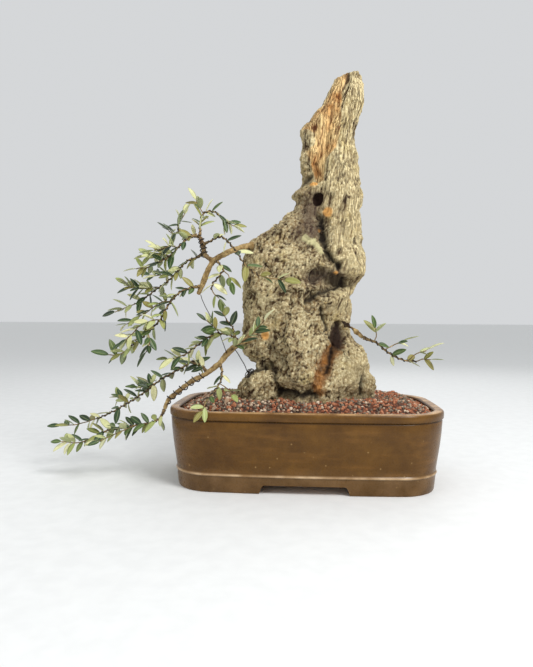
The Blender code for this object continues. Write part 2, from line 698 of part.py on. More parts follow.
def seat_twig(path, thickness, around):
    """Starts the twig just off the bark that carries it, and bends it clear of the wood further on."""
    points = [Vector(p) for p in path]
    radius = thickness * MM / 2
    start = 0
    while start < len(points) - 3:
        along = (points[start + 1] - points[start]).normalized()
        side = along.orthogonal().normalized()
        other = along.cross(side)
        rim = [points[start] + radius * (math.cos(a) * side + math.sin(a) * other)
               for a in (0, 1.05, 2.09, 3.14, 4.19, 5.24)]
        gaps = [around.surface_gap(place, 30 * MM) for place in rim + [points[start]]]
        if all(found is None or found[0] > GAP for found in gaps):
            break
        start += 1
    points = points[start:]
    for i in range(4, len(points)):
        found = around.surface_gap(points[i], 30 * MM)
        if found and found[0] < radius + 2 * GAP:
            points[i] = points[i] + found[1] * (radius + 2 * GAP - found[0])
    return points


def thin_out(points, step):
    """Keeps the two ends and about one point every step along the way."""
    kept = [points[0]]
    for point in points[1:-1]:
        if (point - kept[-1]).length >= step:
            kept.append(point)
    if (points[-1] - kept[-1]).length < 0.4 * step and len(kept) > 1:
        kept.pop()
    kept.append(points[-1])
    return kept


def leaf_frame(along, turn, lean, roll):
    """Directions of a leaf: its length, its width and its upper face's normal."""
    side = along.cross(Vector((0, 0, 1)))
    side = side.normalized() if side.length > 0.2 else Vector((1, 0, 0))
    up = side.cross(along).normalized()
    outward = math.cos(turn) * side + math.sin(turn) * up
    length = (math.cos(lean) * along + math.sin(lean) * outward).normalized()
    width = length.cross(Vector((0, 0, 1)))
    width = width.normalized() if width.length > 0.2 else side
    width = (Matrix.Rotation(roll, 3, length) @ width).normalized()
    return length, width, width.cross(length).normalized()


def leaf_mesh(name, base, frame, size, group):
    """One olive leaf: a folded lance-shaped blade of even thickness."""
    length, width, normal = frame
    if normal.z < 0:
        normal = -normal
        width = -width
    half = size * LEAF_WIDTH / 2
    outline = ((0, 0), (0.32, half), (0.72, 0.8 * half), (1, 0), (0.72, -0.8 * half), (0.32, -half))
    bm = bmesh.new()
    faces = []
    for level in (0.5, -0.5):
        loop = []
        for along, across in outline:
            lift = abs(across) * 0.45 + level * LEAF_THICKNESS
            loop.append(bm.verts.new(base + length * size * along + width * across + normal * lift))
        faces.append(loop)
    for loop in faces:
        for tri in ((0, 1, 3), (1, 2, 3), (0, 3, 5), (3, 4, 5)):
            bm.faces.new([loop[i] for i in tri])
    for i in range(6):
        j = (i + 1) % 6
        bm.faces.new((faces[0][i], faces[0][j], faces[1][j], faces[1][i]))
    bmesh.ops.triangulate(bm, faces=bm.faces)
    return mesh_object(name, bm, group)


def leaf_places(points, pairs, seed):
    """Where leaves grow on a twig: opposite pairs, each pair turned from the last, and one at the tip."""
    lengths = [0.0]
    for a, b in zip(points, points[1:]):
        lengths.append(lengths[-1] + (b - a).length)
    total = lengths[-1]
    first = min(SHEATH, 0.3 * total)
    for pair in range(pairs):
        along = first + (total - first) * (pair + 0.6) / pairs
        along = min(along, total - 1.5 * MM)
        i = max(k for k in range(len(points) - 1) if lengths[k] <= along)
        share = (along - lengths[i]) / (lengths[i + 1] - lengths[i])
        place = points[i].lerp(points[i + 1], share)
        way = (points[i + 1] - points[i]).normalized()
        for side in (0, 1):
            yield f"{seed}.{pair}.{side}", place, way, pair * math.pi / 2 + side * math.pi, False
    yield f"{seed}.tip", points[-1], (points[-1] - points[-2]).normalized(), 0.0, True


def grow_leaf(key, place, way, turn, at_tip, owner, around):
    """Draws a leaf until it is clear of everything else; a crowded one is left out."""
    for attempt in range(LEAF_TRIES):
        draw = random.Random(f"{key}.{attempt}")
        size = draw.uniform(*LEAF_LENGTH) * (1 - 0.012 * attempt)
        lean = math.radians(draw.uniform(5, 25) if at_tip else draw.uniform(28, 68))
        frame = leaf_frame(way, turn + draw.uniform(-0.7, 0.7), lean, draw.uniform(-0.9, 0.9))
        end = place + frame[0] * size
        if not around.crosses(owner, place + frame[0] * 4 * MM, end, size * LEAF_WIDTH * 0.55):
            around.sticks.append((owner, place, end, size * LEAF_WIDTH * 0.5))
            return place - frame[0] * 0.6 * MM, frame, size
    return None


def make_sprays(group, around):
    planned = {}
    for name, twigs in SPRAYS.items():
        planned[name] = []
        for number, (points, thickness, pairs) in enumerate(twigs):
            path = [Vector(p) for p in smooth_path(points, 0.5 * MM)]
            if number == 0:
                path = seat_twig(path, thickness, around)
            path = thin_out(path, TWIG_STEP)
            planned[name].append((path, thickness, pairs))
            for a, b in zip(path, path[1:]):
                around.sticks.append((name, a, b, thickness * MM / 2))
    for name, twigs in planned.items():
        grown = collection(name + "_growth")
        spray = None
        for path, thickness, _ in twigs:
            radii = [tip_radius(thickness, i / (len(path) - 1)) for i in range(len(path))]
            into = group if spray is None else grown
            stick = tube(name if spray is None else f"{name}_twig", path, radii, into)
            if spray is None:
                spray = stick
        for number, (path, _, pairs) in enumerate(twigs):
            for key, place, way, turn, at_tip in leaf_places(path, pairs, f"{name}.{number}"):
                leaf = grow_leaf(key, place, way, turn, at_tip, name, around)
                if leaf:
                    leaf_mesh("leaf", *leaf, grown)
        boolean(spray, "UNION", "MANIFOLD", operands=grown)
        apply_modifiers(spray)
        keep_largest_body(spray.data)
        remove_all(grown)
        spray.data.materials.clear()
        spray.data.materials.append(material("spray"))


# Wires

def coil(points, start, end):
    """Route of a wire wound round a bough between two shares of its length."""
    path = smooth_path(points, 1 * MM)
    centres = [Vector(p[:3]) for p in path]
    first, last = round(start * (len(path) - 1)), round(end * (len(path) - 1))
    side = (centres[first + 1] - centres[first]).orthogonal().normalized()
    travelled = 0.0
    route = []
    for i in range(first, last):
        along = (centres[i + 1] - centres[i]).normalized()
        side = (side - along * side.dot(along)).normalized()
        angle = 2 * math.pi * travelled / WIRE_PITCH
        arm = path[i][3] + WIRE_RADIUS + WIRE_SLACK
        route.append(centres[i] + arm * (math.cos(angle) * side + math.sin(angle) * along.cross(side)))
        travelled += (centres[i + 1] - centres[i]).length
    return route[::2]


def make_wires(group, around):
    wires = []
    for name, (bough, start, end) in TRAINING_WIRES.items():
        route = coil(BOUGHS[bough], start, end)
        wire = tube(name, route, [WIRE_RADIUS] * len(route), group)
        wire.data.materials.append(material("wire"))
        wires.append(wire)
    route = seat_twig(smooth_path(GUY_WIRE, 0.5 * MM), 2 * GUY_RADIUS / MM, around)
    route = thin_out(seat_twig(reversed(route), 2 * GUY_RADIUS / MM, around), 14 * MM)
    guy = tube("guy_wire", route, [GUY_RADIUS] * len(route), group)
    guy.data.materials.append(material("wire"))
    return wires + [guy]


def carry(group, cutters):
    """Parents every piece and cutter to one empty, set so that the tree's box stands over the origin."""
    bpy.context.view_layer.update()
    corners = []
    for thing in group.objects:
        mesh = evaluated_mesh(thing)
        corners += [thing.matrix_world @ vertex.co for vertex in mesh.vertices]
    middle_x = (min(c.x for c in corners) + max(c.x for c in corners)) / 2
    middle_y = (min(c.y for c in corners) + max(c.y for c in corners)) / 2
    empty = bpy.data.objects.new("bonsai_frame", None)
    bpy.context.scene.collection.objects.link(empty)
    empty.location = (-middle_x, -middle_y, 0)
    for thing in list(group.objects) + list(cutters.objects):
        thing.parent = empty
    bpy.context.view_layer.update()


def main():
    clear_scene()
    group = collection("olive_bonsai")
    cutters = collection("cutters")
    pot = make_pot(group, cutters)
    make_screen("drain_screen_left", -1, group)
    make_screen("drain_screen_right", 1, group)
    trunk = make_trunk(group, cutters)
    soil = make_soil(group, cutters)
    around = Surroundings([pot, soil, trunk])
    around.add(make_wires(group, around))
    make_sprays(group, around)
    carry(group, cutters)


main()
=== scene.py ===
# %% [markdown]
# # Olive bonsai in a low glazed pot
# The construction solids give every piece its place and size. This lesson gives each of them the looks
# of the real thing: weathered olive wood, small leathery leaves, loose grit and a worn brown glaze.
# The frame is loaded first, because every later piece is measured from it. Everything is drawn about
# the middle of the pot's base and then moved by MIDDLE, so the numbers read as sizes on the real pot.

# %% Load the frame
import math
import random

import bmesh
import bpy
import numpy as np
from mathutils import Matrix, Vector, noise
from mathutils.bvhtree import BVHTree


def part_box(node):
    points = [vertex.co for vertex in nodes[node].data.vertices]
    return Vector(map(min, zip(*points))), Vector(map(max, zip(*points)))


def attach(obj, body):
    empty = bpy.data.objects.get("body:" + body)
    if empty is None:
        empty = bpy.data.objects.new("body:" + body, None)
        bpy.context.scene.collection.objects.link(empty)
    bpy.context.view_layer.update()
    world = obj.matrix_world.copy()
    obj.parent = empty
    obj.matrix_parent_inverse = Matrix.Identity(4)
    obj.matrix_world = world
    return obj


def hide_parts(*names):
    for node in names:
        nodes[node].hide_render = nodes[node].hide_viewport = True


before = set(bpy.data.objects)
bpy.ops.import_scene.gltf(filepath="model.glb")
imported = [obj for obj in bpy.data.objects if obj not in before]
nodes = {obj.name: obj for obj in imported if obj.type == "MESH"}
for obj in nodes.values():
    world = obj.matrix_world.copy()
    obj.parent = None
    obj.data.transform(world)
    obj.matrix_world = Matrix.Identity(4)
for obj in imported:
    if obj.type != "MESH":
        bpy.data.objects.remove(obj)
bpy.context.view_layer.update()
MM = 0.001
GAP = 0.35 * MM
# Vector noise takes its offsets from the clock until it is given a seed.
NOISE_SEED = 11
noise.seed_set(NOISE_SEED)
pot_low, pot_high = (Vector(corner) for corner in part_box("pot"))
MIDDLE = Vector(((pot_low.x + pot_high.x) / 2, (pot_low.y + pot_high.y) / 2, 0.0))
print("pot middle in the frame:", [round(value, 4) for value in MIDDLE])

# %% [markdown]
# A piece is a mesh that rides on the frame's one body, and it may replace a solid. It
# could be told to the frame by hand each time. One helper does it for all, so that nothing is forgotten.


# %% Helpers for pieces
def piece_from_mesh(name, mesh, slot, paint=None, replaced=(), smooth=True):
    mesh.validate()
    mesh.materials.clear()
    if paint:
        mesh.materials.append(paint)
    made = bpy.data.objects.new(name, mesh)
    bpy.context.scene.collection.objects.link(made)
    mesh.transform(Matrix.Translation(MIDDLE))
    if smooth:
        mesh.shade_smooth()
    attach(made, "root")
    if replaced:
        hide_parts(*replaced)
    return made


def new_piece(name, points, faces, slot, paint, replaced=(), smooth=True):
    """Makes a piece from pot-centred points in metres."""
    mesh = bpy.data.meshes.new(name)
    mesh.from_pydata([tuple(point) for point in points], [], faces)
    return piece_from_mesh(name, mesh, slot, paint, replaced, smooth)


def store(mesh, name, values, domain="POINT"):
    """Keeps one number for each point or face, for a material to read."""
    layer = mesh.attributes.new(name, "FLOAT", domain)
    layer.data.foreach_set("value", np.asarray(values, dtype=np.float32))


def evaluated(thing):
    """The mesh that an object has once its modifiers are applied."""
    bpy.context.view_layer.update()
    return bpy.data.meshes.new_from_object(thing.evaluated_get(bpy.context.evaluated_depsgraph_get()))


def mesh_vectors(mesh, kind="co"):
    """The places or the normals of a mesh's points, one row each."""
    flat = np.empty(len(mesh.vertices) * 3)
    mesh.vertices.foreach_get(kind, flat)
    return flat.reshape(-1, 3)


print("construction solids in the frame:", len(nodes))

# %% [markdown]
# A tube is the base of every twig and wire. Blender's curves could draw it, but a path of points with a
# radius at each gives flares and knots as well. The ring of points that is carried along the path is
# turned with it, so that the tube never twists.


# %% Helpers for paths and tubes
def smooth_path(points, step):
    """Points every step along a smooth curve through rows given in millimetres."""
    rows = [[value * MM for value in point] for point in points]
    first = [2 * a - b for a, b in zip(rows[0], rows[1])]
    last = [2 * a - b for a, b in zip(rows[-1], rows[-2])]
    padded = [first] + rows + [last]
    path = []
    for p0, p1, p2, p3 in zip(padded, padded[1:], padded[2:], padded[3:]):
        count = max(1, round(math.dist(p1[:3], p2[:3]) / step))
        for i in range(count):
            t = i / count
            path.append([0.5 * (2 * b + (c - a) * t + (2 * a - 5 * b + 4 * c - d) * t * t
                                + (3 * b - a - 3 * c + d) * t ** 3)
                         for a, b, c, d in zip(p0, p1, p2, p3)])
    path.append(rows[-1])
    return path


def band(low, count):
    """The faces between two rings of points, the first of which starts at low."""
    return [(low + k, low + (k + 1) % count, low + count + (k + 1) % count, low + count + k)
            for k in range(count)]


def tube(path, radii, sides, points, faces):
    """Adds a closed round stick along a path to lists of points and faces."""
    path = [Vector(p) for p in path]
    side = None
    start = len(points)
    for i, place in enumerate(path):
        along = (path[min(i + 1, len(path) - 1)] - path[max(i - 1, 0)]).normalized()
        side = along.orthogonal() if side is None else side - along * side.dot(along)
        side.normalize()
        other = along.cross(side)
        for k in range(sides):
            angle = 2 * math.pi * k / sides
            points.append(place + radii[i] * (math.cos(angle) * side + math.sin(angle) * other))
        if i:
            faces.extend(band(start + (i - 1) * sides, sides))
    faces.append(tuple(range(start + sides - 1, start - 1, -1)))
    last = start + (len(path) - 1) * sides
    faces.append(tuple(range(last, last + sides)))


def ease(value, low, high):
    """0 below low, 1 above high, smooth between; works on numbers and arrays."""
    share = np.clip((value - low) / (high - low), 0, 1)
    return share * share * (3 - 2 * share)


def fall(value, low, high):
    """1 below low, 0 above high, smooth between."""
    return ease(-value, -high, -low)


print("a quarter of the way, ease gives", ease(0.25, 0, 1), "and fall", fall(0.25, 0, 1))

# %% [markdown]
# Materials are node trees. They could be clicked together in the shader editor. One short helper makes
# a node and fills its sockets, with a value or with a link, so that a material reads as a list of the
# effects it is made of.


# %% Helpers for materials
def node(tree, kind, settings=None, **sockets):
    """A new node. A socket goes by its name, or by n and its number where names repeat."""
    made = tree.nodes.new(kind)
    for key, value in (settings or {}).items():
        setattr(made, key, value)
    for key, value in sockets.items():
        numbered = key[0] == "n" and key[1:].isdigit()
        socket = made.inputs[int(key[1:]) if numbered else key.replace("_", " ")]
        if isinstance(value, bpy.types.NodeSocket):
            tree.links.new(value, socket)
        elif isinstance(value, tuple) and len(value) == 3 and socket.type == "RGBA":
            socket.default_value = (*value, 1.0)
        else:
            socket.default_value = value
    return made


def srgb(red, green, blue):
    """A colour as a paint chart gives it, 0 to 255, in the light values that a shader needs."""
    return tuple(((value / 255 + 0.055) / 1.055) ** 2.4 if value > 10 else value / 255 / 12.92
                 for value in (red, green, blue))


def mix(tree, factor, first, second, blend="MIX"):
    settings = {"data_type": "RGBA", "blend_type": blend}
    return node(tree, "ShaderNodeMix", settings, n0=factor, n6=first, n7=second).outputs[2]


def reading(tree, name):
    """A number that was kept with the mesh."""
    return node(tree, "ShaderNodeAttribute", {"attribute_name": name}).outputs["Fac"]


def maths(tree, operation, first, second=0.0, third=0.0):
    return node(tree, "ShaderNodeMath", {"operation": operation}, n0=first, n1=second, n2=third).outputs[0]


def fade(tree, value, low, high, top=1.0):
    """0 where a value is at low, rising to top where it is at high."""
    return node(tree, "ShaderNodeMapRange", Value=value, From_Min=low, From_Max=high,
                To_Max=top).outputs["Result"]


def cloud(tree, where, scale, detail, **more):
    return node(tree, "ShaderNodeTexNoise", Vector=where, Scale=scale, Detail=detail, **more).outputs["Fac"]


def own_places(tree):
    return node(tree, "ShaderNodeTexCoord").outputs["Object"]


def surface(name, roughness):
    """A new material: its tree and its Principled shader."""
    made = bpy.data.materials.new(name)
    made.use_nodes = True
    shader = made.node_tree.nodes["Principled BSDF"]
    shader.inputs["Roughness"].default_value = roughness
    return made, made.node_tree, shader


def wire_up(tree, shader, **sockets):
    for key, value in sockets.items():
        tree.links.new(value, shader.inputs[key.replace("_", " ")])


print("a mid grey of 128 in light values:", round(srgb(128, 128, 128)[0], 3))

# %% [markdown]
# Three effects come back in several finishes, so each is a node group, built once and placed with its own
# values. Mottle wanders between two colours, as glaze, bark and stone all do. Grain gives a fine bump
# with a matching change in gloss. Crinkle draws fine threads, from tangled to long and straight.


# %% Shared node groups
def group(name, inputs, outputs):
    """An empty node group with named sockets, what it is given and what it puts out."""
    made = bpy.data.node_groups.new(name, "ShaderNodeTree")
    for label, value in inputs.items():
        coloured = isinstance(value, tuple)
        kind = "NodeSocketColor" if coloured else "NodeSocketFloat"
        socket = made.interface.new_socket(label, in_out="INPUT", socket_type=kind)
        socket.default_value = (*value, 1.0) if coloured else value
    for label, kind in outputs.items():
        made.interface.new_socket(label, in_out="OUTPUT", socket_type="NodeSocket" + kind)
    return made, made.nodes.new("NodeGroupInput").outputs, made.nodes.new("NodeGroupOutput").inputs


def put_out(tree, result, **values):
    for name, value in values.items():
        tree.links.new(value, result[name])


def bumped(tree, height, given):
    return node(tree, "ShaderNodeBump", Height=height, Strength=given["Strength"],
                Distance=given["Depth"]).outputs["Normal"]


MOTTLE, given, result = group(
    "Mottle",
    {"First": (0.2, 0.2, 0.2), "Second": (0.5, 0.5, 0.5), "Scale": 60.0, "Detail": 5.0, "Low": 0.35,
     "High": 0.65},
    {"Color": "Color", "Mask": "Float"})
spread = fade(MOTTLE, cloud(MOTTLE, own_places(MOTTLE), given["Scale"], given["Detail"]),
              given["Low"], given["High"])
put_out(MOTTLE, result, Color=mix(MOTTLE, spread, given["First"], given["Second"]), Mask=spread)

GRAIN, given, result = group(
    "Grain",
    {"Scale": 400.0, "Strength": 0.3, "Depth": 0.0005, "Roughness": 0.6, "Spread": 0.15},
    {"Normal": "Vector", "Roughness": "Float"})
specks = cloud(GRAIN, own_places(GRAIN), given["Scale"], 6.0)
gloss = maths(GRAIN, "MULTIPLY_ADD", maths(GRAIN, "SUBTRACT", specks, 0.5), given["Spread"],
              given["Roughness"])
put_out(GRAIN, result, Normal=bumped(GRAIN, specks, given), Roughness=gloss)

CRINKLE, given, result = group(
    "Crinkle",
    {"Scale": 190.0, "Fibre": 0.0, "Width": 0.08, "Depth": 0.0012, "Strength": 0.8},
    {"Mask": "Float", "Normal": "Vector"})
tangled = own_places(CRINKLE)
drawn_out = node(CRINKLE, "ShaderNodeMapping", Vector=tangled, Rotation=(0.0, -0.16, 0.0),
                 Scale=(1.5, 1.5, 0.16)).outputs["Vector"]
threads = []
for spot, distortion in ((tangled, 1.4), (drawn_out, 0.5)):
    weave = cloud(CRINKLE, spot, given["Scale"], 4.0, Distortion=distortion)
    off_middle = maths(CRINKLE, "ABSOLUTE", maths(CRINKLE, "SUBTRACT", weave, 0.5))
    threads.append(fade(CRINKLE, off_middle, 0.0, given["Width"]))
line = node(CRINKLE, "ShaderNodeMix", n0=given["Fibre"], n2=threads[0], n3=threads[1]).outputs[0]
put_out(CRINKLE, result, Mask=line, Normal=bumped(CRINKLE, line, given))
print("node groups:", [made.name for made in bpy.data.node_groups])

# %% [markdown]
# A finish is a stack of layers. Each layer is a paint, mottled or plain, and a mask that says where it
# lies. These helpers place the groups and lay one such layer over the others.


# %% Helpers for finishes
def place_group(tree, made, **sockets):
    return node(tree, "ShaderNodeGroup", {"node_tree": made}, **sockets).outputs


def mottled(tree, first, second, scale, **more):
    """A colour that wanders between two paints."""
    return place_group(tree, MOTTLE, First=srgb(*first), Second=srgb(*second), Scale=scale, **more)["Color"]


def lay(tree, colour, mask, tint, strength=1.0):
    """Lays a tint over a colour where a mask, or a number kept with the mesh, says."""
    where = reading(tree, mask) if isinstance(mask, str) else mask
    if strength < 1:
        where = maths(tree, "MULTIPLY", where, strength)
    return mix(tree, where, colour, srgb(*tint) if isinstance(tint, tuple) else tint)


def grained(tree, shader, colour, effects, **settings):
    """Ends a material with its colour and the named effects of the Grain group."""
    grain = place_group(tree, GRAIN, **settings)
    wire_up(tree, shader, Base_Color=colour, **{name: grain[name] for name in effects})


print("a Mottle group has the sockets", [item.name for item in MOTTLE.interface.items_tree])

# %% [markdown]
# ## The room
# A pale floor, a soft sky and a large lamp at the front right show the relief as the photograph does.
# Two weaker lamps keep the left side and the back from going dark. A picture of a room could light the
# scene too, but lamps can be moved one by one until the shadows agree.

# %% Floor and light
FLOOR_SIZE = 160
SKY_STRENGTH = 0.84
LAMP_AIM = Vector((0, 0, 0.3))
# Each lamp has its place, the length of its side and its power.
LAMPS = {"key": ((1.0, -1.15, 1.6), 0.7, 31), "fill": ((-1.5, -1.0, 0.9), 1.6, 4),
         "back": ((0.4, 1.6, 1.6), 1.5, 8)}


def add_to_scene(name, data, place):
    made = bpy.data.objects.new(name, data)
    made.location = MIDDLE + Vector(place)
    bpy.context.scene.collection.objects.link(made)
    return made


def make_floor():
    bpy.ops.mesh.primitive_plane_add(size=FLOOR_SIZE, location=(0, 0, -0.2 * MM))
    floor = bpy.context.object
    floor.name = "studio_floor"
    paint, tree, shader = surface("studio_floor", 0.9)
    wire_up(tree, shader, Base_Color=mottled(tree, (232, 233, 232), (228, 229, 228), 40.0, Detail=2.0))
    floor.data.materials.append(paint)


def make_light():
    world = bpy.data.worlds.new("soft_sky")
    bpy.context.scene.world = world
    world.use_nodes = True
    sky = world.node_tree.nodes["Background"]
    sky.inputs["Color"].default_value = (*srgb(230, 232, 234), 1)
    sky.inputs["Strength"].default_value = SKY_STRENGTH
    for name, (place, size, power) in LAMPS.items():
        lamp = add_to_scene(name, bpy.data.lights.new(name, "AREA"), place)
        lamp.data.size = size
        lamp.data.energy = power
        aim = MIDDLE + LAMP_AIM - lamp.location
        lamp.rotation_euler = aim.to_track_quat("-Z", "Y").to_euler()


make_floor()
make_light()
print("lamps:", ", ".join(LAMPS))

# %% [markdown]
# The camera stands where the photograph was taken. Its place could be tried by eye. Here its place, turn
# and lens were worked out from the pot's rim, ridge and base lines, with the sizes that the pot has
# below.

# %% Camera
CAMERA_PLACE = (0.0009, -0.9554, 0.2552)
CAMERA_TURN = 0.06918
CAMERA_TILT = -0.02106
CAMERA_ROLL = 0.00535
CAMERA_LENS = 30.77
NEAREST_SEEN = 20 * MM


def make_camera():
    camera = add_to_scene("camera", bpy.data.cameras.new("camera"), CAMERA_PLACE)
    camera.data.lens = CAMERA_LENS
    camera.data.clip_start = NEAREST_SEEN
    level = Matrix.Rotation(math.pi / 2 + CAMERA_TILT, 3, "X")
    turn = Matrix.Rotation(CAMERA_TURN, 3, "Z") @ level @ Matrix.Rotation(CAMERA_ROLL, 3, "Z")
    camera.rotation_euler = turn.to_euler()
    bpy.context.scene.camera = camera
    bpy.context.scene.view_settings.view_transform = "Standard"
    return camera


camera = make_camera()
print("camera stands", round(-(camera.location - MIDDLE).y, 3), "m in front of the pot's middle")

# %% [markdown]
# ## The pot
# The real pot is slip-glazed stoneware, pressed in a mould: the walls are slightly bowed, the lip is
# flat, and a raised ridge runs round above the feet. A loft through closed outlines gives all of that
# in one skin. The outline is finer than the solid's, so that the corners are smooth.

# %% Pot outline
RIM_WIDTH, RIM_DEPTH = 420 * MM, 256 * MM
BASE_WIDTH, BASE_DEPTH = 392 * MM, 228 * MM
POT_HEIGHT = 122 * MM
CORNER = 69 * MM
SMALLEST_CORNER = 20 * MM
BOW = 7.8 * MM
SHORT_BOW = 0.6
CORNER_STEPS = 15
SIDE_STEPS = (12, 6)


def pot_outline(grow, inset, height):
    """Ring of the wall: grow 0 is the base outline and 1 the rim's, moved inwards by inset."""
    half_x = (BASE_WIDTH + (RIM_WIDTH - BASE_WIDTH) * grow) / 2 - inset
    half_y = (BASE_DEPTH + (RIM_DEPTH - BASE_DEPTH) * grow) / 2 - inset
    corner = max(SMALLEST_CORNER, CORNER * (0.75 + 0.25 * grow) - inset)
    flat_x, flat_y = half_x - corner, half_y - corner
    ring = []
    for quarter, (sx, sy) in enumerate(((1, 1), (-1, 1), (-1, -1), (1, -1))):
        for step in range(CORNER_STEPS + 1):
            angle = math.pi / 2 * (quarter + step / CORNER_STEPS)
            ring.append((sx * flat_x + corner * math.cos(angle), sy * flat_y + corner * math.sin(angle)))
        steps = SIDE_STEPS[quarter % 2]
        for step in range(1, steps):
            along = 1 - 2 * step / steps
            if quarter % 2 == 0:
                ring.append((sx * flat_x * along, sy * half_y))
            else:
                ring.append((sx * half_x, sy * flat_y * along))
    placed = []
    for x, y in ring:
        out_y = math.copysign(BOW * max(0, 1 - (x / half_x) ** 2), y)
        out_x = math.copysign(SHORT_BOW * BOW * max(0, 1 - (y / half_y) ** 2), x)
        placed.append(Vector((x + out_x, y + out_y, height)))
    return placed


def lofted(name, rings):
    """A closed skin through rings of points, as an object that is only used on the way."""
    points = [tuple(point) for ring in rings for point in ring]
    count = len(rings[0])
    faces = [tuple(range(count - 1, -1, -1)), tuple(range(len(points) - count, len(points)))]
    for level in range(len(rings) - 1):
        faces.extend(band(level * count, count))
    mesh = bpy.data.meshes.new(name)
    mesh.from_pydata(points, [], faces)
    made = bpy.data.objects.new(name, mesh)
    bpy.context.scene.collection.objects.link(made)
    return made


print("points in a ring of the pot:", len(pot_outline(1, 0, POT_HEIGHT)))

# %% [markdown]
# The wall's section is listed from the recess under the floor, over the foot, the ridge and the lip, and
# down the inside. Each row says how far the outline has grown from the base to the rim, how far it is
# set in and how high it lies.

# %% Pot section
RIM_BAND = 14 * MM
LIP_FOOT = 113 * MM
WALL = 10 * MM
FLOOR = 20 * MM
RIDGE_HEIGHT = 27 * MM
UNDER_RIM = POT_HEIGHT - RIM_BAND
# Each run of the section starts from a level. Its rows are the growth, and the inset and height in mm.
SECTION = (
    (0, ((0, 13, 14.5), (0, 13, 1), (0, 12, 0), (0, 2.2, 0), (0, 0.7, 0.6), (0, 0, 2.2), (0.1, 0, 14))),
    (RIDGE_HEIGHT, ((0.17, 0, -2.4), (0.19, -0.9, -1.3), (0.2, -1.3, 0), (0.2, -1.1, 1), (0.2, -0.2, 2),
                    (0.21, 0.6, 3))),
    (0, ((0.32, 0.4, 42), (0.48, 0.1, 58), (0.62, 0, 72), (0.76, 0.2, 88))),
    (UNDER_RIM, ((0.89, 0.6, -2.2), (0.9, 1.4, -0.8), (0.9, 1.9, 0.2), (0.97, 1.2, 1.1), (1, 0.5, 2.2))),
    (POT_HEIGHT, ((1, 0, -7), (1, 0.2, -3.6), (1, 1, -1.6), (1, 2.4, -0.4), (1, 4.4, 0), (1, 11, 0),
                  (1, 13, -0.4), (1, 14.4, -1.6), (1, 15, -3.4))),
)


def inner_wall(height):
    return pot_outline(0.1 + 0.78 * (height - FLOOR) / (POT_HEIGHT - FLOOR), WALL, height)


pot_rings = [pot_outline(grow, inset * MM, level + rise * MM)
             for level, rows in SECTION for grow, inset, rise in rows]
pot_rings += [inner_wall(LIP_FOOT), inner_wall(FLOOR + 4 * MM), pot_outline(0.1, WALL + 5 * MM, FLOOR)]
print("rings in the pot's section:", len(pot_rings))

# %% [markdown]
# The gaps between the feet and the two drainage holes could be drawn into the loft. They are cut from it
# with Booleans instead, as a potter cuts them. The masks for the glaze are read from the cut mesh.

# %% Pot shape
NOTCH_HEIGHT = 13.5 * MM
NOTCH_SLANT = 8 * MM
NOTCH_STEPS = 6
# Each pair of gaps has its half width and its turn in degrees.
NOTCH_HALVES = ((67 * MM, 0), (35 * MM, 90))
DRAIN_RADIUS = 12 * MM
DRAIN_OFFSET = 95 * MM


def pot_cutters():
    """Two bars that cut the gaps between the feet, and two plugs that cut the drainage holes."""
    cutters = []
    for half, turn in NOTCH_HALVES:
        side = []
        for step in range(NOTCH_STEPS + 1):
            share = step / NOTCH_STEPS
            rise = math.pi / 2 * share
            side.append((half - NOTCH_SLANT * (0.25 * (1 - math.cos(rise)) + 0.75 * share),
                         NOTCH_HEIGHT * math.sin(rise)))
        wide, below = half + 2 * MM, -5 * MM
        outline = [(wide, below)] + side + [(-x, z) for x, z in reversed(side)] + [(-wide, below)]
        cutter = lofted("notch", [[Vector((x, y, z)) for x, z in reversed(outline)] for y in (-0.24, 0.24)])
        cutter.rotation_euler.z = math.radians(turn)
        cutters.append(cutter)
    for way in (-1, 1):
        rings = [[Vector((DRAIN_RADIUS * math.cos(math.pi * k / 16) + way * DRAIN_OFFSET,
                          DRAIN_RADIUS * math.sin(math.pi * k / 16), z)) for k in range(32)]
                 for z in (2 * MM, 40 * MM)]
        cutters.append(lofted("drain", rings))
    return cutters


def cut_pot():
    drawn = lofted("pot_drawn", pot_rings)
    cutters = pot_cutters()
    for cutter in cutters:
        bm = bmesh.new()
        bm.from_mesh(cutter.data)
        bmesh.ops.recalc_face_normals(bm, faces=bm.faces)
        bm.to_mesh(cutter.data)
        bm.free()
        cut = drawn.modifiers.new("cut", "BOOLEAN")
        cut.object = cutter
        cut.solver = "EXACT"
    mesh = evaluated(drawn)
    for spare in cutters + [drawn]:
        bpy.data.objects.remove(spare, do_unlink=True)
    return mesh


def make_pot():
    """The pot's mesh, with masks that say where the glaze is worn or missing, and where shade is painted
    under the rim.
    """
    mesh = cut_pot()
    x, y, height = mesh_vectors(mesh).T
    outside = np.maximum(np.abs(x) / (RIM_WIDTH / 2), np.abs(y) / (RIM_DEPTH / 2)) > 0.8
    store(mesh, "ridge", np.exp(-((height - RIDGE_HEIGHT - 0.3 * MM) / (1.5 * MM)) ** 2) * outside)
    store(mesh, "lip", ease(height, POT_HEIGHT - 1.8 * MM, POT_HEIGHT - 0.3 * MM))
    # Painted shade: a dark line in the groove under the rim band.
    store(mesh, "groove_shade", np.exp(-((height - UNDER_RIM - 0.2 * MM) / (1.6 * MM)) ** 2) * outside)
    store(mesh, "rise", height / POT_HEIGHT)
    below = [float(face.normal.z < -0.6 and face.center.z < FLOOR) for face in mesh.polygons]
    store(mesh, "under", below, "FACE")
    pot = piece_from_mesh("glazed_pot", mesh, "glazed_pot", None, ["pot"])
    mesh.set_sharp_from_angle(angle=math.radians(38))
    return pot


pot = make_pot()
print("pot faces:", len(pot.data.polygons))
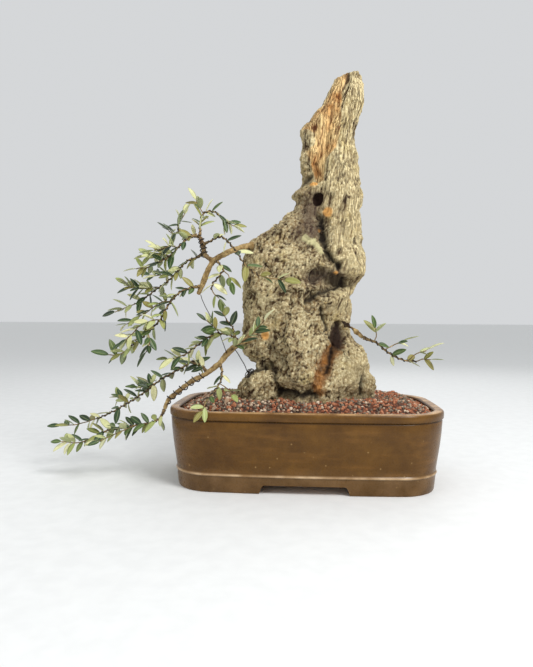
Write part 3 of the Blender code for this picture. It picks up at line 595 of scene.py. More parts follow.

# %% [markdown]
# The glaze is a warm brown that runs thin over every edge, where the pale clay shows. It could be one
# colour with a bump. Here the masks kept with the mesh lay the worn edges, a line of painted shade in the
# groove under the rim and the dusty foot, and two mottles and a few flat runs give the cast of a fired
# surface.


# %% Pot finish
def glaze():
    paint, tree, shader = surface("brown_glaze", 0.4)
    colour = mix(tree, 0.3, mottled(tree, (74, 47, 13), (106, 72, 22), 14.0, Detail=6.0),
                 mottled(tree, (80, 52, 16), (112, 78, 30), 90.0, Detail=4.0, Low=0.45, High=0.75))
    where = own_places(tree)
    flattened = node(tree, "ShaderNodeMapping", Vector=where, Scale=(0.16, 0.16, 1.0)).outputs["Vector"]
    runs = fade(tree, cloud(tree, flattened, 130.0, 5.0), 0.5, 0.78, 0.45)
    colour = lay(tree, colour, runs, (126, 86, 36))
    cell = node(tree, "ShaderNodeTexVoronoi", Vector=where, Scale=62.0).outputs["Distance"]
    colour = lay(tree, colour, fade(tree, cell, 0.09, 0.05, 0.55), (176, 142, 92))
    foot = fade(tree, reading(tree, "rise"), 0.26, 0.2, 0.6)
    dust = mottled(tree, (84, 60, 30), (120, 92, 60), 36.0, Detail=7.0)
    worn_lip = mottled(tree, (128, 94, 58), (192, 154, 108), 42.0)
    worn_ridge = mottled(tree, (150, 118, 80), (214, 184, 146), 40.0)
    clay = mottled(tree, (150, 112, 78), (188, 150, 112), 70.0)
    # The groove under the rim gets a dark line of painted shade.
    for mask, tint, strength in ((foot, dust, 1.0), ("lip", worn_lip, 1.0), ("ridge", worn_ridge, 0.95),
                                 ("groove_shade", (58, 38, 18), 0.75), ("under", clay, 1.0)):
        colour = lay(tree, colour, mask, tint, strength)
    grained(tree, shader, colour, ("Normal", "Roughness"), Scale=300.0, Strength=0.12, Depth=0.0004,
            Roughness=0.3, Spread=0.35)
    shader.inputs["Specular IOR Level"].default_value = 0.24
    shader.inputs["Coat Weight"].default_value = 0.03
    shader.inputs["Coat Roughness"].default_value = 0.25
    return paint


pot.data.materials.append(glaze())
print("nodes in the glaze:", len(pot.data.materials[0].node_tree.nodes))

# %% [markdown]
# ## The trunk
# Old olive wood is a mass of lumps, pits and open cracks below, and of long fibres higher up, with a
# strip of bare amber deadwood from the tip down. It could be sculpted by hand. Here the solid gives the
# mass, and rules give the skin, so that every mark can be moved by changing one row. The marks of this
# trunk come first, in millimetres: those on the front as (x, height), those in the round as (x, y, z).

# %% Trunk marks
# A crevice has its line, half width, depth and the darkness of the shade painted in it.
CREVICES = {
    "crevice": (((22, 422), (24, 402), (27, 386), (34, 372), (41, 352), (52, 341)), 5, 8, 1.0),
    "cavity": (((10, 325), (25, 330), (44, 324), (58, 320)), 9, 9, 0.5),
    "slanting furrow": (((62, 318), (38, 309), (16, 298), (2, 286)), 4, 6, 0.85),
    "crack": (((24, 277), (28, 261), (36, 246)), 3, 5, 0.9),
    "under the knob": (((4, 492), (-10, 481)), 5, 5, 0.8),
    "channel tip": (((18, 512), (18, 486)), 5, 5, 0.3),
    "heart crack": (((45, 215), (38, 196), (34, 176)), 4.2, 5, 0.95),
    "left root gap": (((-57, 188), (-46, 171), (-42, 153), (-40, 139)), 3.5, 6, 0.8),
    "left undercut": (((-98, 184), (-80, 181), (-62, 184)), 4, 5, 0.8),
    "cave": (((-38, 141), (-10, 143), (16, 141)), 5, 8, 1.0),
    "right gap": (((93, 168), (90, 139)), 4, 5, 0.8),
    "left fold": (((-58, 214), (-42, 200), (-30, 182)), 5, 4, 0.3),
}
# The deadwood's two edges as (height, x).
AMBER_RIGHT = ((488, 27), (504, 28), (520, 31), (535, 46), (556, 53), (580, 55), (604, 55), (628, 56),
               (660, 66))
AMBER_LEFT = ((483, 15), (502, 9), (519, 4), (535, -1), (544, 12), (562, 14), (572, -2), (580, -30),
              (606, -30), (626, -20), (655, -20))
# A spot has its middle and its half sizes, and a line its points and its half width.
KNOTS = (((34, 429), (8, 9)), ((-63, 234), (7, 9)), ((48, 331), (4, 5)), ((12, 478), (8, 4)),
         ((22, 402), (4, 3)))
# The stain spots on the upper trunk are partly stain, partly painted shade.
STAIN_AND_SHADE_SPOTS = (((2, 396), (24, 15)), ((4, 430), (17, 36)), ((15, 452), (17, 15)))
# Painted light: spots that lighten the right root, where the light falls from the right and above.
PAINTED_LIGHT_ON_ROOT = (((74, 178), (30, 36)), ((88, 152), (24, 24)))
FIBROUS_ROOT = ((80, 174), (26, 36))
# The dark hollows are painted near black: painted shade inside them.
DARK_HOLLOWS = (((55, -70, 234), (17, 44, 25)), ((17, -44, 452), (9, 20, 11)), ((15, -34, 505), (6, 14, 15)))
CUT_END = (-173, -53, 296)
CUT_END_RADIUS = 5.5
HEART = (((46, 212), (34, 196), (27, 176), (20, 152)), 14)
SCAR = (((10, 322), (30, 328), (56, 324)), 12)
CALLUS = (((-2, 388), (14, 379), (25, 366)), 6)
DARK_RISER = (((-155, 357), (-164, 376), (-170, 392)), 6)
# The boughs as rows of x, y, z and radius.
BOUGHS = {
    "upper bough": ((-66, -18, 384, 9), (-84, -32, 380, 6.5), (-104, -45, 373, 5.6), (-127, -55, 363, 5.4),
                    (-147, -60, 349, 5.4), (-158, -58, 328, 5), (-165, -55, 311, 4.8), (-172, -53, 297, 4.6)),
    "riser": ((-145, -60, 350, 4.6), (-160, -56, 360, 4.6), (-164, -52, 376, 4.2), (-170, -48, 392, 3.6)),
    "lower bough": ((-60, -36, 246, 9), (-79, -50, 234, 7), (-102, -70, 221, 5.4), (-118, -80, 208, 5),
                    (-131, -84, 192, 5), (-151, -84, 175, 4.8), (-174, -80, 163, 4.6), (-197, -74, 146, 4.4),
                    (-215, -70, 131, 4.2), (-222, -68, 115, 3.8)),
    "right bough": ((44, -26, 266, 9), (54, -46, 258, 7), (64, -62, 249, 5), (78, -72, 240, 4.4),
                    (88, -78, 231, 4)),
}
print("marks on the trunk:", len(CREVICES) + len(KNOTS) + len(STAIN_AND_SHADE_SPOTS) + len(DARK_HOLLOWS))

# %% [markdown]
# A field gives a number for each place on the skin: how near it is to a mark, or how noise swells
# there. The real bark's lumps are rounder than plain noise, so the places are bent by a second noise
# first. The fibres come from noise that is drawn out along the trunk's lean.


# %% Fields over the skin
def line_field(x, z, line, width):
    """1 on a line of (x, height) points in millimetres, fading to 0 beside it."""
    nearest = np.full(len(x), 1e9)
    for start, end in zip(line, line[1:]):
        a, b = np.array(start, float), np.array(end, float)
        along = np.clip(((x - a[0]) * (b - a)[0] + (z - a[1]) * (b - a)[1]) / ((b - a) ** 2).sum(), 0, 1)
        spot = a + np.outer(along, b - a)
        nearest = np.minimum(nearest, np.hypot(x - spot[:, 0], z - spot[:, 1]))
    return np.exp(-(nearest / width) ** 2)


def spot_fields(x, z, spots):
    return sum(np.exp(-(((x - middle[0]) / radius[0]) ** 2 + ((z - middle[1]) / radius[1]) ** 2))
               for middle, radius in spots)


def noise_fields(places):
    """Lumps, furrows, veins, pits, grit, fibres and flutes at each place, from millimetre coordinates."""
    fields = np.empty((7, len(places)))
    aside = Vector((31, 57, 13))
    for i, (x, y, z) in enumerate(places):
        place = Vector((x, y, z))
        bent = place + 7 * noise.noise_vector(place / 17)
        lean = x - 0.22 * z
        swirl = 6 * noise.noise(Vector((x / 26, y / 26, z / 44)))
        along = Vector(((lean + swirl) / 3.1, y / 3.1, z / 42))
        fields[:, i] = (
            noise.noise(bent / 17) + 0.55 * noise.noise(bent / 8.5) + 0.5 * noise.noise(bent / 34 + aside),
            1 - min(1, abs(noise.noise(bent / 12 + aside)) / 0.13),
            1 - min(1, abs(noise.noise(bent / 6.5 - aside)) / 0.2),
            noise.voronoi(bent / 9)[0][0],
            noise.noise(bent / 3) + 0.6 * noise.noise(bent / 1.7),
            noise.noise(along) + 0.6 * noise.noise(along * 1.9),
            noise.noise(Vector(((lean + 2 * swirl) / 15, y / 15, z / 75))))
    lumps, furrow, vein, cells, grit, fibres, flutes = fields
    pit = fall(cells, 0.12, 0.42) * ease(lumps, -0.35, 0.25)
    return lumps, furrow, vein, pit, grit, fibres, flutes


def bough_share(x, y, z):
    """1 on the bare boughs, 0 on the trunk's own mass."""
    share = np.zeros(len(x))
    for points in BOUGHS.values():
        for row in smooth_path(points, 3 * MM):
            bx, by, bz, radius = (value / MM for value in row)
            if bx < -90 or by < -66:
                near = np.sqrt((x - bx) ** 2 + (y - by) ** 2 + (z - bz) ** 2)
                share = np.maximum(share, fall(near, radius + 1.5, radius + 3.5))
    return share


print("on a bough, the bough's share is", bough_share(*np.array([[-151.0], [-84.0], [175.0]]))[0])

# %% [markdown]
# Each mark becomes a mask, 1 where the mark is and 0 beside it. A mask could be painted by hand. These
# serve twice: they steer how far the skin is pushed, and they are kept with the mesh, so that the colour
# follows the same marks.


# %% Trunk masks
def wood_masks(places, front, lumps, fibres):
    """Where the wood is fibrous, amber or bough, where shade is painted in the cracks, and how deep the
    crevices are, in millimetres.
    """
    x, y, z = places.T
    fibre = ease(z, 400, 470) + 0.9 * ease(x, 20, 55) * ease(z, 245, 300)
    fibre = np.clip(fibre + 0.5 * spot_fields(x, z, [FIBROUS_ROOT]) * front, 0, 1)
    fibre *= 1 - 0.8 * front * fall(x, -4, 14) * fall(z, 578, 600)
    crack, depth = np.zeros(len(x)), np.zeros(len(x))
    # Each crevice lays painted shade in it, as deep as its darkness.
    for line, width, deep, dark in CREVICES.values():
        mark = line_field(x + 4 * lumps, z + 4 * lumps, line, width) * front
        crack = np.maximum(crack, mark * dark)
        depth = np.maximum(depth, mark * deep)
    left = np.interp(z, *zip(*AMBER_LEFT)) + 2.0 * fibres
    right = np.interp(z, *zip(*AMBER_RIGHT)) + 1.6 * fibres
    amber = ease(x, left - 1.5, left + 1.5) * (1 - ease(x, right - 1.5, right + 1.5)) * front
    masks = {"fibre": fibre, "crack": np.clip(crack * 1.15, 0, 1), "amber": amber * ease(z, 478, 486),
             "bough": bough_share(x, y, z)}
    return masks, depth


def wound_masks(places, front, lumps, fibres):
    """Where the wood is rotten, knotted, hollow with painted shade, stained with some painted shade, healed
    over or darker near the soil.
    """
    x, y, z = places.T
    heart = line_field(x + 7 * lumps, z + 5 * lumps, *HEART) * front
    cut_end = np.exp(-((places - CUT_END) ** 2).sum(axis=1) / CUT_END_RADIUS ** 2)
    hollow = np.zeros(len(x))
    for middle, half in DARK_HOLLOWS:
        inside = (((places - middle) / half) ** 2).sum(axis=1)
        hollow = np.maximum(hollow, fall(inside, 0.75, 1.4))
    stain_and_shade = np.clip(spot_fields(x, z, STAIN_AND_SHADE_SPOTS) + 1.2 * line_field(x, z, *SCAR), 0, 1)
    stain_and_shade *= np.clip(0.95 + 0.7 * lumps, 0, 1) * front
    callus = line_field(x + 4 * lumps, z + 4 * lumps, *CALLUS) * front
    return {"heart": ease(heart + 0.25 * fibres, 0.25, 0.8),
            "knot": ease(np.maximum(spot_fields(x, z, KNOTS) * front, cut_end), 0.3, 0.6),
            "hollow": hollow, "stain_and_shade": stain_and_shade + 0.8 * line_field(x, z, *DARK_RISER),
            # The trunk is made a little darker near the soil, below 152 mm.
            "callus": ease(callus, 0.3, 0.7), "darker_near_soil": fall(z, 134, 152)}


print("crevices to cut:", ", ".join(CREVICES))

# %% [markdown]
# The skin is a voxel remesh of the solid, relaxed a little. A Displace modifier could push it with one
# texture. Here each point is pushed along its normal by what its place asks for: rough lumps, furrows
# and pits on old bark, fine ribs on fibrous wood, flutes most of all behind, and the crevices and
# hollows. Painted light and shade are drawn from the same fields: painted light on the high places and
# painted shade in the low ones.

# %% Trunk shape
FINE_VOXEL = 2.05 * MM
DEEPEST, PROUDEST = -11, 5


def trunk_skin():
    source = nodes["trunk"].data.copy()
    source.transform(Matrix.Translation(-MIDDLE))
    rough = bpy.data.objects.new("trunk_rough", source)
    bpy.context.scene.collection.objects.link(rough)
    remesh = rough.modifiers.new("fine skin", "REMESH")
    remesh.mode = "VOXEL"
    remesh.voxel_size = FINE_VOXEL
    relax = rough.modifiers.new("relax", "SMOOTH")
    relax.iterations = 5
    relax.factor = 0.5
    mesh = evaluated(rough)
    bpy.data.objects.remove(rough, do_unlink=True)
    return mesh


def relief_and_painted_shading(places, front, fields, masks, depth):
    """How far each place is pushed out, in millimetres, and its painted light and shade."""
    lumps, furrow, vein, pit, grit, fibres, flutes = fields
    x, _, z = places.T
    fibre, amber, bough = masks["fibre"], masks["amber"], masks["bough"]
    behind = 1 - 0.65 * front
    bare = (1 - bough) * (1 - amber)
    rough = 3.3 * lumps - 2.0 * furrow - 1.0 * vein - 1.9 * pit + 0.6 * grit + 1.1 * fibres
    relief = (1 - 0.7 * fibre) * (1 - bough) * (1 - 0.75 * amber) * rough
    relief += fibre * bare * (1.5 * fibres + 1.0 * lumps - 0.3 * furrow)
    relief += bare * behind * 7 * (flutes - 0.1)
    relief += amber * (2.0 * fibres + 1.2 * lumps - 1.8)
    relief += bough * (0.5 * grit + 0.9 * lumps - 0.5 * vein)
    relief += 1.5 * masks["callus"] - depth * (1 - bough)
    relief -= 6 * masks["hollow"] * front + 2.2 * masks["heart"] * (1 - 0.5 * grit)
    relief = np.clip(relief, DEEPEST, PROUDEST) * (1 - 0.6 * fall(z, 118, 128))
    # Painted shade in the furrows, veins and pits and painted light on the lumps, with some fine variation of
    # the wood.
    painted_shading = 0.66 + 0.5 * lumps + 0.34 * grit - 0.5 * furrow - 0.3 * vein - 0.65 * pit + 0.45 * fibres
    # On fibrous and amber wood the painted shade is softer, and it falls in the flutes behind.
    smooth_painted_shading = 0.62 + 0.85 * fibres + 0.25 * lumps - 0.12 * furrow + behind * 0.8 * np.minimum(flutes, 0)
    painted_shading += (smooth_painted_shading - painted_shading) * np.maximum(fibre, amber)
    # Painted light on the right root; the trunk below 250 mm is made a little lighter too.
    painted_shading += front * (0.4 * spot_fields(x, z, PAINTED_LIGHT_ON_ROOT) + 0.07 * fall(z, 250, 330))
    return relief, painted_shading


def make_trunk():
    mesh = trunk_skin()
    places = mesh_vectors(mesh) / MM
    front = fall(places[:, 1], -8, 8)
    fields = noise_fields(places)
    lumps, fibres = fields[0], fields[5]
    masks, depth = wood_masks(places, front, lumps, fibres)
    masks.update(wound_masks(places, front, lumps, fibres))
    relief, masks["painted_shading"] = relief_and_painted_shading(places, front, fields, masks, depth)
    pushed = (places + mesh_vectors(mesh, "normal") * relief[:, None]) * MM
    mesh.vertices.foreach_set("co", pushed.ravel())
    mesh.update()
    for name, values in masks.items():
        store(mesh, name, values)
    return piece_from_mesh("olive_trunk", mesh, "bark", None, ["trunk"])


trunk = make_trunk()
print("trunk faces:", len(trunk.data.polygons))

# %% [markdown]
# The bark's colour carries painted light and shade that follow its relief: pale grey-beige on the high
# places and near-black painted shade in the pits.
# Painting it by hand would be lost at the next change of shape. Instead each mask lays its own colour:
# amber and straw on the deadwood, tan on the young boughs, purple-grey stain and painted shade in the old
# wound and upper trunk, orange at the cut knots, and near-black painted shade in the crevices and hollows.
# Crinkle's threads, straighter where the wood is fibrous, darken it all and give the bump.


# %% Trunk finish
def crinkled(tree, colour, share, deepest, **settings):
    """A colour darkened by the Crinkle group's threads, and the bump that goes with them."""
    threads = place_group(tree, CRINKLE, **settings)
    shade = mix(tree, threads["Mask"], deepest, (1.0, 1.0, 1.0))
    return mix(tree, share, colour, shade, "MULTIPLY"), threads["Normal"]


def bark():
    paint, tree, shader = surface("olive_bark", 0.85)
    high = mix(tree, 0.58, mottled(tree, (184, 156, 106), (232, 212, 160), 19.0),
               mottled(tree, (134, 104, 60), (255, 246, 204), 260.0))
    high = lay(tree, high, "fibre", (228, 211, 162), 0.5)
    lichen = place_group(tree, MOTTLE, Scale=34.0, Low=0.56, High=0.72)["Mask"]
    high = lay(tree, high, lichen, (196, 172, 100), 0.4)
    painted_shading = fade(tree, reading(tree, "painted_shading"), 0.02, 0.64)
    # Painted light and shade: a dark mottle is painted shade in the low places, and the bark's colour lies on
    # the high ones.
    colour = mix(tree, painted_shading, mottled(tree, (54, 38, 24), (104, 80, 52), 60.0), high)
    straw = mottled(tree, (194, 136, 72), (252, 222, 160), 34.0, Detail=7.0)
    rot = mottled(tree, (92, 48, 16), (204, 138, 66), 50.0, Detail=6.0)
    tan = mottled(tree, (142, 112, 68), (216, 186, 130), 120.0)
    # The amber deadwood also darkens in the low places, as painted shade.
    colour = lay(tree, colour, "amber", mix(tree, painted_shading, srgb(108, 62, 26), straw))
    colour = lay(tree, colour, "heart", rot, 0.85)
    colour = lay(tree, colour, "bough", tan)
    straight = maths(tree, "MAXIMUM", reading(tree, "fibre"), reading(tree, "amber"))
    straight = maths(tree, "MAXIMUM", straight, 0.45)
    patches = place_group(tree, MOTTLE, Scale=30.0, Detail=2.0, Low=0.36, High=0.6)["Mask"]
    share = maths(tree, "MULTIPLY_ADD", reading(tree, "bough"), -0.4, 0.92)
    share = maths(tree, "MULTIPLY", share, maths(tree, "MULTIPLY_ADD", patches, 0.5, 0.5))
    colour, normal = crinkled(tree, colour, share, (0.46, 0.38, 0.30), Scale=185.0, Fibre=straight,
                              Width=0.075, Depth=0.0014, Strength=0.9)
    # The stains lay purple-grey stain with painted shade, the cracks and hollows near-black painted shade,
    # and the base is darker near the soil.
    for mask, tint, strength in (("stain_and_shade", (82, 62, 54), 0.78), ("callus", (226, 218, 164), 0.75),
                                 ("knot", (234, 170, 90), 0.85), ("crack", (24, 15, 10), 0.94),
                                 ("hollow", (40, 18, 9), 0.97), ("darker_near_soil", (60, 46, 32), 0.15)):
        colour = lay(tree, colour, mask, tint, strength)
    wire_up(tree, shader, Base_Color=colour, Normal=normal)
    shader.inputs["Specular IOR Level"].default_value = 0.3
    return paint


trunk.data.materials.append(bark())
print("nodes in the bark:", len(trunk.data.materials[0].node_tree.nodes))

# %% [markdown]
# ## The soil
# Bonsai grit is sieved stone: baked red clay, pale pumice and grey lava, 3 to 6 mm across. A physics run
# could let it fall, at the cost of minutes. Instead several thousand uneven lumps are set on the solid
# bed, which stays underneath: a ray cast down finds where each one lies, and none is set inside wood.

# %% Grains
GRAIN_SPACING = 4.5 * MM
GRAIN_RADIUS = (1.9, 3.6)
LARGE_FROM = 0.93
BED_LOWEST = 0.1
# Each kind has its share of all grains and its two colours.
GRAIN_KINDS = {
    "red": (0.52, (144, 82, 54), (196, 132, 96)),
    "grey": (0.30, (96, 84, 70), (150, 134, 114)),
    "pale": (0.18, (180, 150, 122), (226, 206, 180)),
}


def scene_tree(name):
    """A solid's faces about the pot's middle, sorted so that the nearest one is found quickly."""
    bm = bmesh.new()
    bm.from_mesh(nodes[name].data)
    bmesh.ops.transform(bm, matrix=Matrix.Translation(-MIDDLE), verts=bm.verts)
    made = BVHTree.FromBMesh(bm)
    bm.free()
    return made


def ball_shape():
    ball = bmesh.new()
    bmesh.ops.create_icosphere(ball, subdivisions=1, radius=1)
    points = np.array([vertex.co[:] for vertex in ball.verts])
    faces = [[vertex.index for vertex in face.verts] for face in ball.faces]
    ball.free()
    return points, faces


def resting_place(x, y, size, bed, wood):
    """Where a grain lies on the bed, or None off the bed and inside wood."""
    spot = bed.ray_cast(Vector((x, y, 0.2)), Vector((0, 0, -1)))[0]
    if spot is None or spot.z < BED_LOWEST:
        return None
    near, normal, _, distance = wood.find_nearest(spot, 0.05)
    if near is not None and (distance < 0.5 * size or (spot - near).dot(normal) < 0):
        return None
    return spot


def drop_grains(shape, shape_faces):
    """The points, faces and tints of each kind's heap."""
    bed, wood = scene_tree("soil"), scene_tree("trunk")
    draw = np.random.RandomState(11)
    heaps = {kind: ([], [], []) for kind in GRAIN_KINDS}
    chances = np.cumsum([share for share, _, _ in GRAIN_KINDS.values()])
    reach_x, reach_y = RIM_WIDTH / 2, RIM_DEPTH / 2 + BOW
    for column in range(int(2 * reach_x / GRAIN_SPACING)):
        for row in range(int(2 * reach_y / GRAIN_SPACING)):
            shake = draw.uniform(-0.5, 0.5, 3)
            x = -reach_x + (column + 0.5 + shake[0]) * GRAIN_SPACING
            y = -reach_y + (row + 0.5 + shake[1]) * GRAIN_SPACING
            size = draw.uniform(*GRAIN_RADIUS) * MM * (1 + 0.3 * (draw.uniform() > LARGE_FROM))
            stretch = draw.uniform(0.6, 1.1, 3)
            turn = Matrix.Rotation(draw.uniform(0, 6.28), 3, "Z")
            turn = turn @ Matrix.Rotation(draw.uniform(0, 6.28), 3, "X")
            jitter = draw.uniform(0.76, 1.16, (len(shape), 1))
            pick = draw.uniform() ** (1 + 0.5 * x / reach_x)
            lift = draw.uniform(-0.2, 0.55)
            tint = draw.uniform()
            spot = resting_place(x, y, size, bed, wood)
            if spot is None:
                continue
            kind = list(GRAIN_KINDS)[int(np.searchsorted(chances, pick))] if pick < chances[-1] else "red"
            points, faces, tints = heaps[kind]
            start = len(points)
            lump = (shape * jitter * stretch * size) @ np.array(turn).T
            points.extend(lump + np.array((spot.x, spot.y, spot.z + lift * size)))
            faces.extend([[start + i for i in face] for face in shape_faces])
            tints.extend([tint] * len(shape_faces))
    return heaps


grain_shape, grain_faces = ball_shape()
heaps = drop_grains(grain_shape, grain_faces)
print("grains:", {kind: len(tints) // len(grain_faces) for kind, (_, _, tints) in heaps.items()})

# %% [markdown]
# Every grain has one tint of its own between its kind's two colours, and fine dark specks break it up.
# One material for each kind is enough, because the tint is read from the mesh. Under the grains the
# solid bed is dark earth, and the hidden drainage screens are black moulded plastic.


# %% Soil finishes
def speckled(tree, colour, darkest, scale, share):
    """Darkens a colour in fine specks."""
    specks = place_group(tree, MOTTLE, First=(darkest,) * 3, Second=(1.0, 1.0, 1.0), Scale=scale, Low=0.3,
                         High=0.6)
    return mix(tree, share, colour, specks["Color"], "MULTIPLY")


def grit(kind):
    paint, tree, shader = surface(f"grit_{kind}", 0.9)
    _, low, high = GRAIN_KINDS[kind]
    colour = mix(tree, reading(tree, "tint"), srgb(*low), srgb(*high))
    grained(tree, shader, speckled(tree, colour, 0.25, 500.0, 0.35), ("Normal",), Scale=900.0, Strength=0.4,
            Depth=0.0006)
    return paint


def earth():
    paint, tree, shader = surface("dark_earth", 0.95)
    colour = mottled(tree, (44, 32, 26), (108, 66, 46), 180.0)
    grained(tree, shader, colour, ("Normal",), Scale=300.0, Strength=0.8, Depth=0.002)
    return paint


def moulded():
    paint, tree, shader = surface("black_mesh", 0.5)
    wire_up(tree, shader, Base_Color=mottled(tree, (20, 20, 20), (40, 40, 40), 100.0))
    return paint


def repaint(name, paint):
    """Gives a solid of the frame a finish."""
    nodes[name].data.materials.clear()
    nodes[name].data.materials.append(paint)


for kind, (points, faces, tints) in heaps.items():
    grains = new_piece(f"grains_{kind}", points, faces, "soil_grains", grit(kind), smooth=False)
    store(grains.data, "tint", tints, "FACE")
repaint("soil", earth())
black_mesh = moulded()
for name in ("drain_screen_left", "drain_screen_right"):
    repaint(name, black_mesh)
print("finishes so far:", [paint.name for paint in bpy.data.materials])

# %% [markdown]
# ## Twigs and leaves
# Olive leaves grow in opposite pairs, each pair turned a quarter from the last, on thin grey twigs. They
# could be scattered as copies of one leaf. Real ones point where the twig sends them, so the twigs follow
# the routes of the construction solids, and the solids' own drawing rule finds each leaf's place.

# %% Twig routes
# A twig has its thickness at the root in millimetres, its number of leaf pairs and its points.
SPRAYS = {
    "spray_upper_left": (
        (3.0, 4, (-170, -48, 392), (-180, -52, 391), (-190, -58, 384), (-202, -62, 371), (-215, -64, 358),
         (-223, -64, 353), (-236, -66, 346), (-251, -70, 339), (-266, -74, 337)),
        (1.7, 2, (-215, -64, 358), (-228, -52, 362), (-246, -42, 361), (-262, -38, 360)),
        (1.6, 2, (-202, -62, 371), (-212, -76, 372), (-224, -84, 366), (-234, -88, 364))),
    "spray_upper_side": (
        (3.0, 5, (-162, -52, 364), (-178, -42, 357), (-196, -34, 351), (-220, -26, 328), (-246, -16, 310),
         (-279, -10, 289), (-306, -6, 277), (-324, -4, 270)),
        (1.7, 3, (-246, -16, 310), (-263, -30, 309), (-280, -38, 309), (-293, -42, 315)),
        (1.6, 2, (-220, -26, 328), (-236, -8, 334), (-252, 4, 332), (-268, 10, 334))),
    "spray_upper_front": (
        (3.0, 6, (-166, -56, 311), (-178, -70, 307), (-192, -80, 302), (-207, -88, 286), (-223, -92, 257),
         (-241, -94, 238), (-264, -92, 219), (-287, -88, 203), (-306, -86, 202)),
        (1.8, 3, (-207, -88, 286), (-229, -74, 283), (-252, -62, 269), (-271, -54, 260), (-289, -50, 250)),
        (1.8, 3, (-223, -92, 257), (-235, -104, 255), (-249, -112, 247), (-264, -116, 232),
         (-276, -118, 222)),
        (1.6, 1, (-241, -94, 238), (-236, -104, 222), (-240, -110, 208))),
    "spray_crown": (
        (2.4, 4, (-170, -48, 392), (-170, -40, 414), (-167, -34, 430), (-151, -28, 434), (-139, -24, 425),
         (-130, -20, 418), (-120, -16, 413)),
        (1.6, 1, (-167, -34, 430), (-172, -40, 440), (-177, -44, 450))),
    "spray_crown_back": (
        (2.2, 2, (-168, -48, 388), (-188, -34, 396), (-207, -24, 403), (-212, -18, 413), (-208, -13, 424),
         (-203, -10, 434)),
        (1.6, 1, (-207, -24, 403), (-220, -12, 402), (-232, -4, 408))),
    "spray_middle": (
        (2.4, 6, (-164, -54, 376), (-146, -68, 383), (-129, -78, 385), (-115, -84, 372), (-104, -90, 361),
         (-96, -94, 346), (-84, -96, 334), (-67, -97, 324), (-50, -97, 320), (-32, -98, 318)),),
    "spray_hanging": (
        (2.2, 4, (-142, -62, 351), (-134, -76, 345), (-127, -84, 334), (-134, -88, 322), (-143, -90, 309),
         (-140, -90, 298), (-132, -90, 290)),
        (1.5, 1, (-127, -84, 334), (-118, -94, 326), (-112, -100, 314))),
    "spray_low_end": (
        (3.0, 7, (-222, -68, 115), (-230, -66, 101), (-246, -64, 93), (-270, -62, 88), (-296, -62, 83),
         (-320, -62, 78), (-342, -62, 66), (-365, -62, 58), (-393, -62, 59)),
        (1.8, 2, (-270, -62, 88), (-286, -78, 82), (-304, -88, 74), (-318, -94, 68))),
    "spray_low_top": (
        (2.6, 5, (-103, -68, 222), (-113, -92, 233), (-129, -102, 237), (-147, -106, 230),
         (-163, -108, 218), (-178, -108, 206), (-193, -106, 200), (-209, -102, 197)),
        (1.6, 1, (-129, -102, 237), (-138, -110, 248), (-148, -114, 256))),
    "spray_low_back": (
        (3.0, 9, (-151, -84, 175), (-164, -64, 187), (-179, -52, 191), (-192, -44, 184), (-215, -38, 172),
         (-248, -34, 151), (-267, -30, 136), (-294, -26, 119), (-322, -24, 103), (-356, -22, 88),
         (-389, -22, 79), (-412, -22, 77)),
        (1.8, 3, (-248, -34, 151), (-262, -16, 150), (-278, -2, 142), (-292, 8, 140)),
        (1.7, 2, (-294, -26, 119), (-306, -10, 124), (-322, 2, 124))),
    "spray_low_front": (
        (2.2, 4, (-131, -84, 192), (-126, -99, 176), (-128, -108, 162), (-136, -116, 149),
         (-143, -122, 140), (-147, -128, 133), (-149, -136, 124)),
        (1.5, 1, (-128, -108, 162), (-116, -120, 156), (-106, -130, 148))),
    "shoot_straight": (
        (1.9, 2, (-116, -80, 211), (-101, -102, 220), (-85, -112, 231), (-72, -118, 244), (-60, -122, 257)),),
    "spray_by_trunk": (
        (2.0, 3, (-102, -70, 221), (-112, -50, 232), (-118, -40, 246), (-128, -34, 258), (-136, -30, 270)),),
    "spray_right": (
        (3.0, 4, (88, -78, 231), (98, -82, 228), (113, -86, 220), (128, -86, 207), (146, -84, 199),
         (164, -80, 196), (178, -78, 199), (190, -77, 199)),
        (1.6, 1, (104, -84, 224), (106, -90, 236), (104, -94, 246)),
        (1.6, 1, (120, -86, 214), (134, -92, 222), (146, -96, 228)),
        (1.6, 1, (154, -82, 197), (166, -90, 208), (180, -94, 214))),
}
print("twigs:", sum(len(twigs) for twigs in SPRAYS.values()), "on", len(SPRAYS), "sprays")

# %% [markdown]
# A leaf that would touch wood, wire or another leaf is drawn again, so the script has to know what is
# around it. A ray test against whole meshes would be slow. Solids are kept as sorted trees, and twigs
# and leaves as straight sticks with a thickness, whose distances are quick to find.

# %% Keeping twigs and leaves clear of everything else
STANDING = ("pot", "soil", "trunk", "wire_upper", "wire_lower", "guy_wire")


class Surroundings:
    """The solids that stand around the sprays, and the sticks that have grown so far."""
    def __init__(self):
        self.trees = [scene_tree(name) for name in STANDING]
        self.sticks = []

    def surface_gap(self, place, reach):
        """The distance to the nearest surface, below 0 inside it, and the surface's normal."""
        best = None
        for tree in self.trees:
            spot, normal, _, distance = tree.find_nearest(place, reach)
            if spot is None:
                continue
            signed = math.copysign(distance, (place - spot).dot(normal))
            if best is None or signed < best[0]:
                best = (signed, normal)
        return best

    def crosses(self, owner, start, end, radius):
        """True where a stick of this radius would touch anything but its own root."""
        for share in (0.15, 0.4, 0.6, 0.8, 1.0):
            found = self.surface_gap(start.lerp(end, share), 20 * MM)
            if found and found[0] < radius + GAP:
                return True
        outer = start.lerp(end, 0.3)
        for other, a, b, thick in self.sticks:
            begin = outer if other == owner else start
            if segment_distance(begin, end, a, b) < 0.7 * radius + 0.8 * thick + GAP:
                return True
        return False


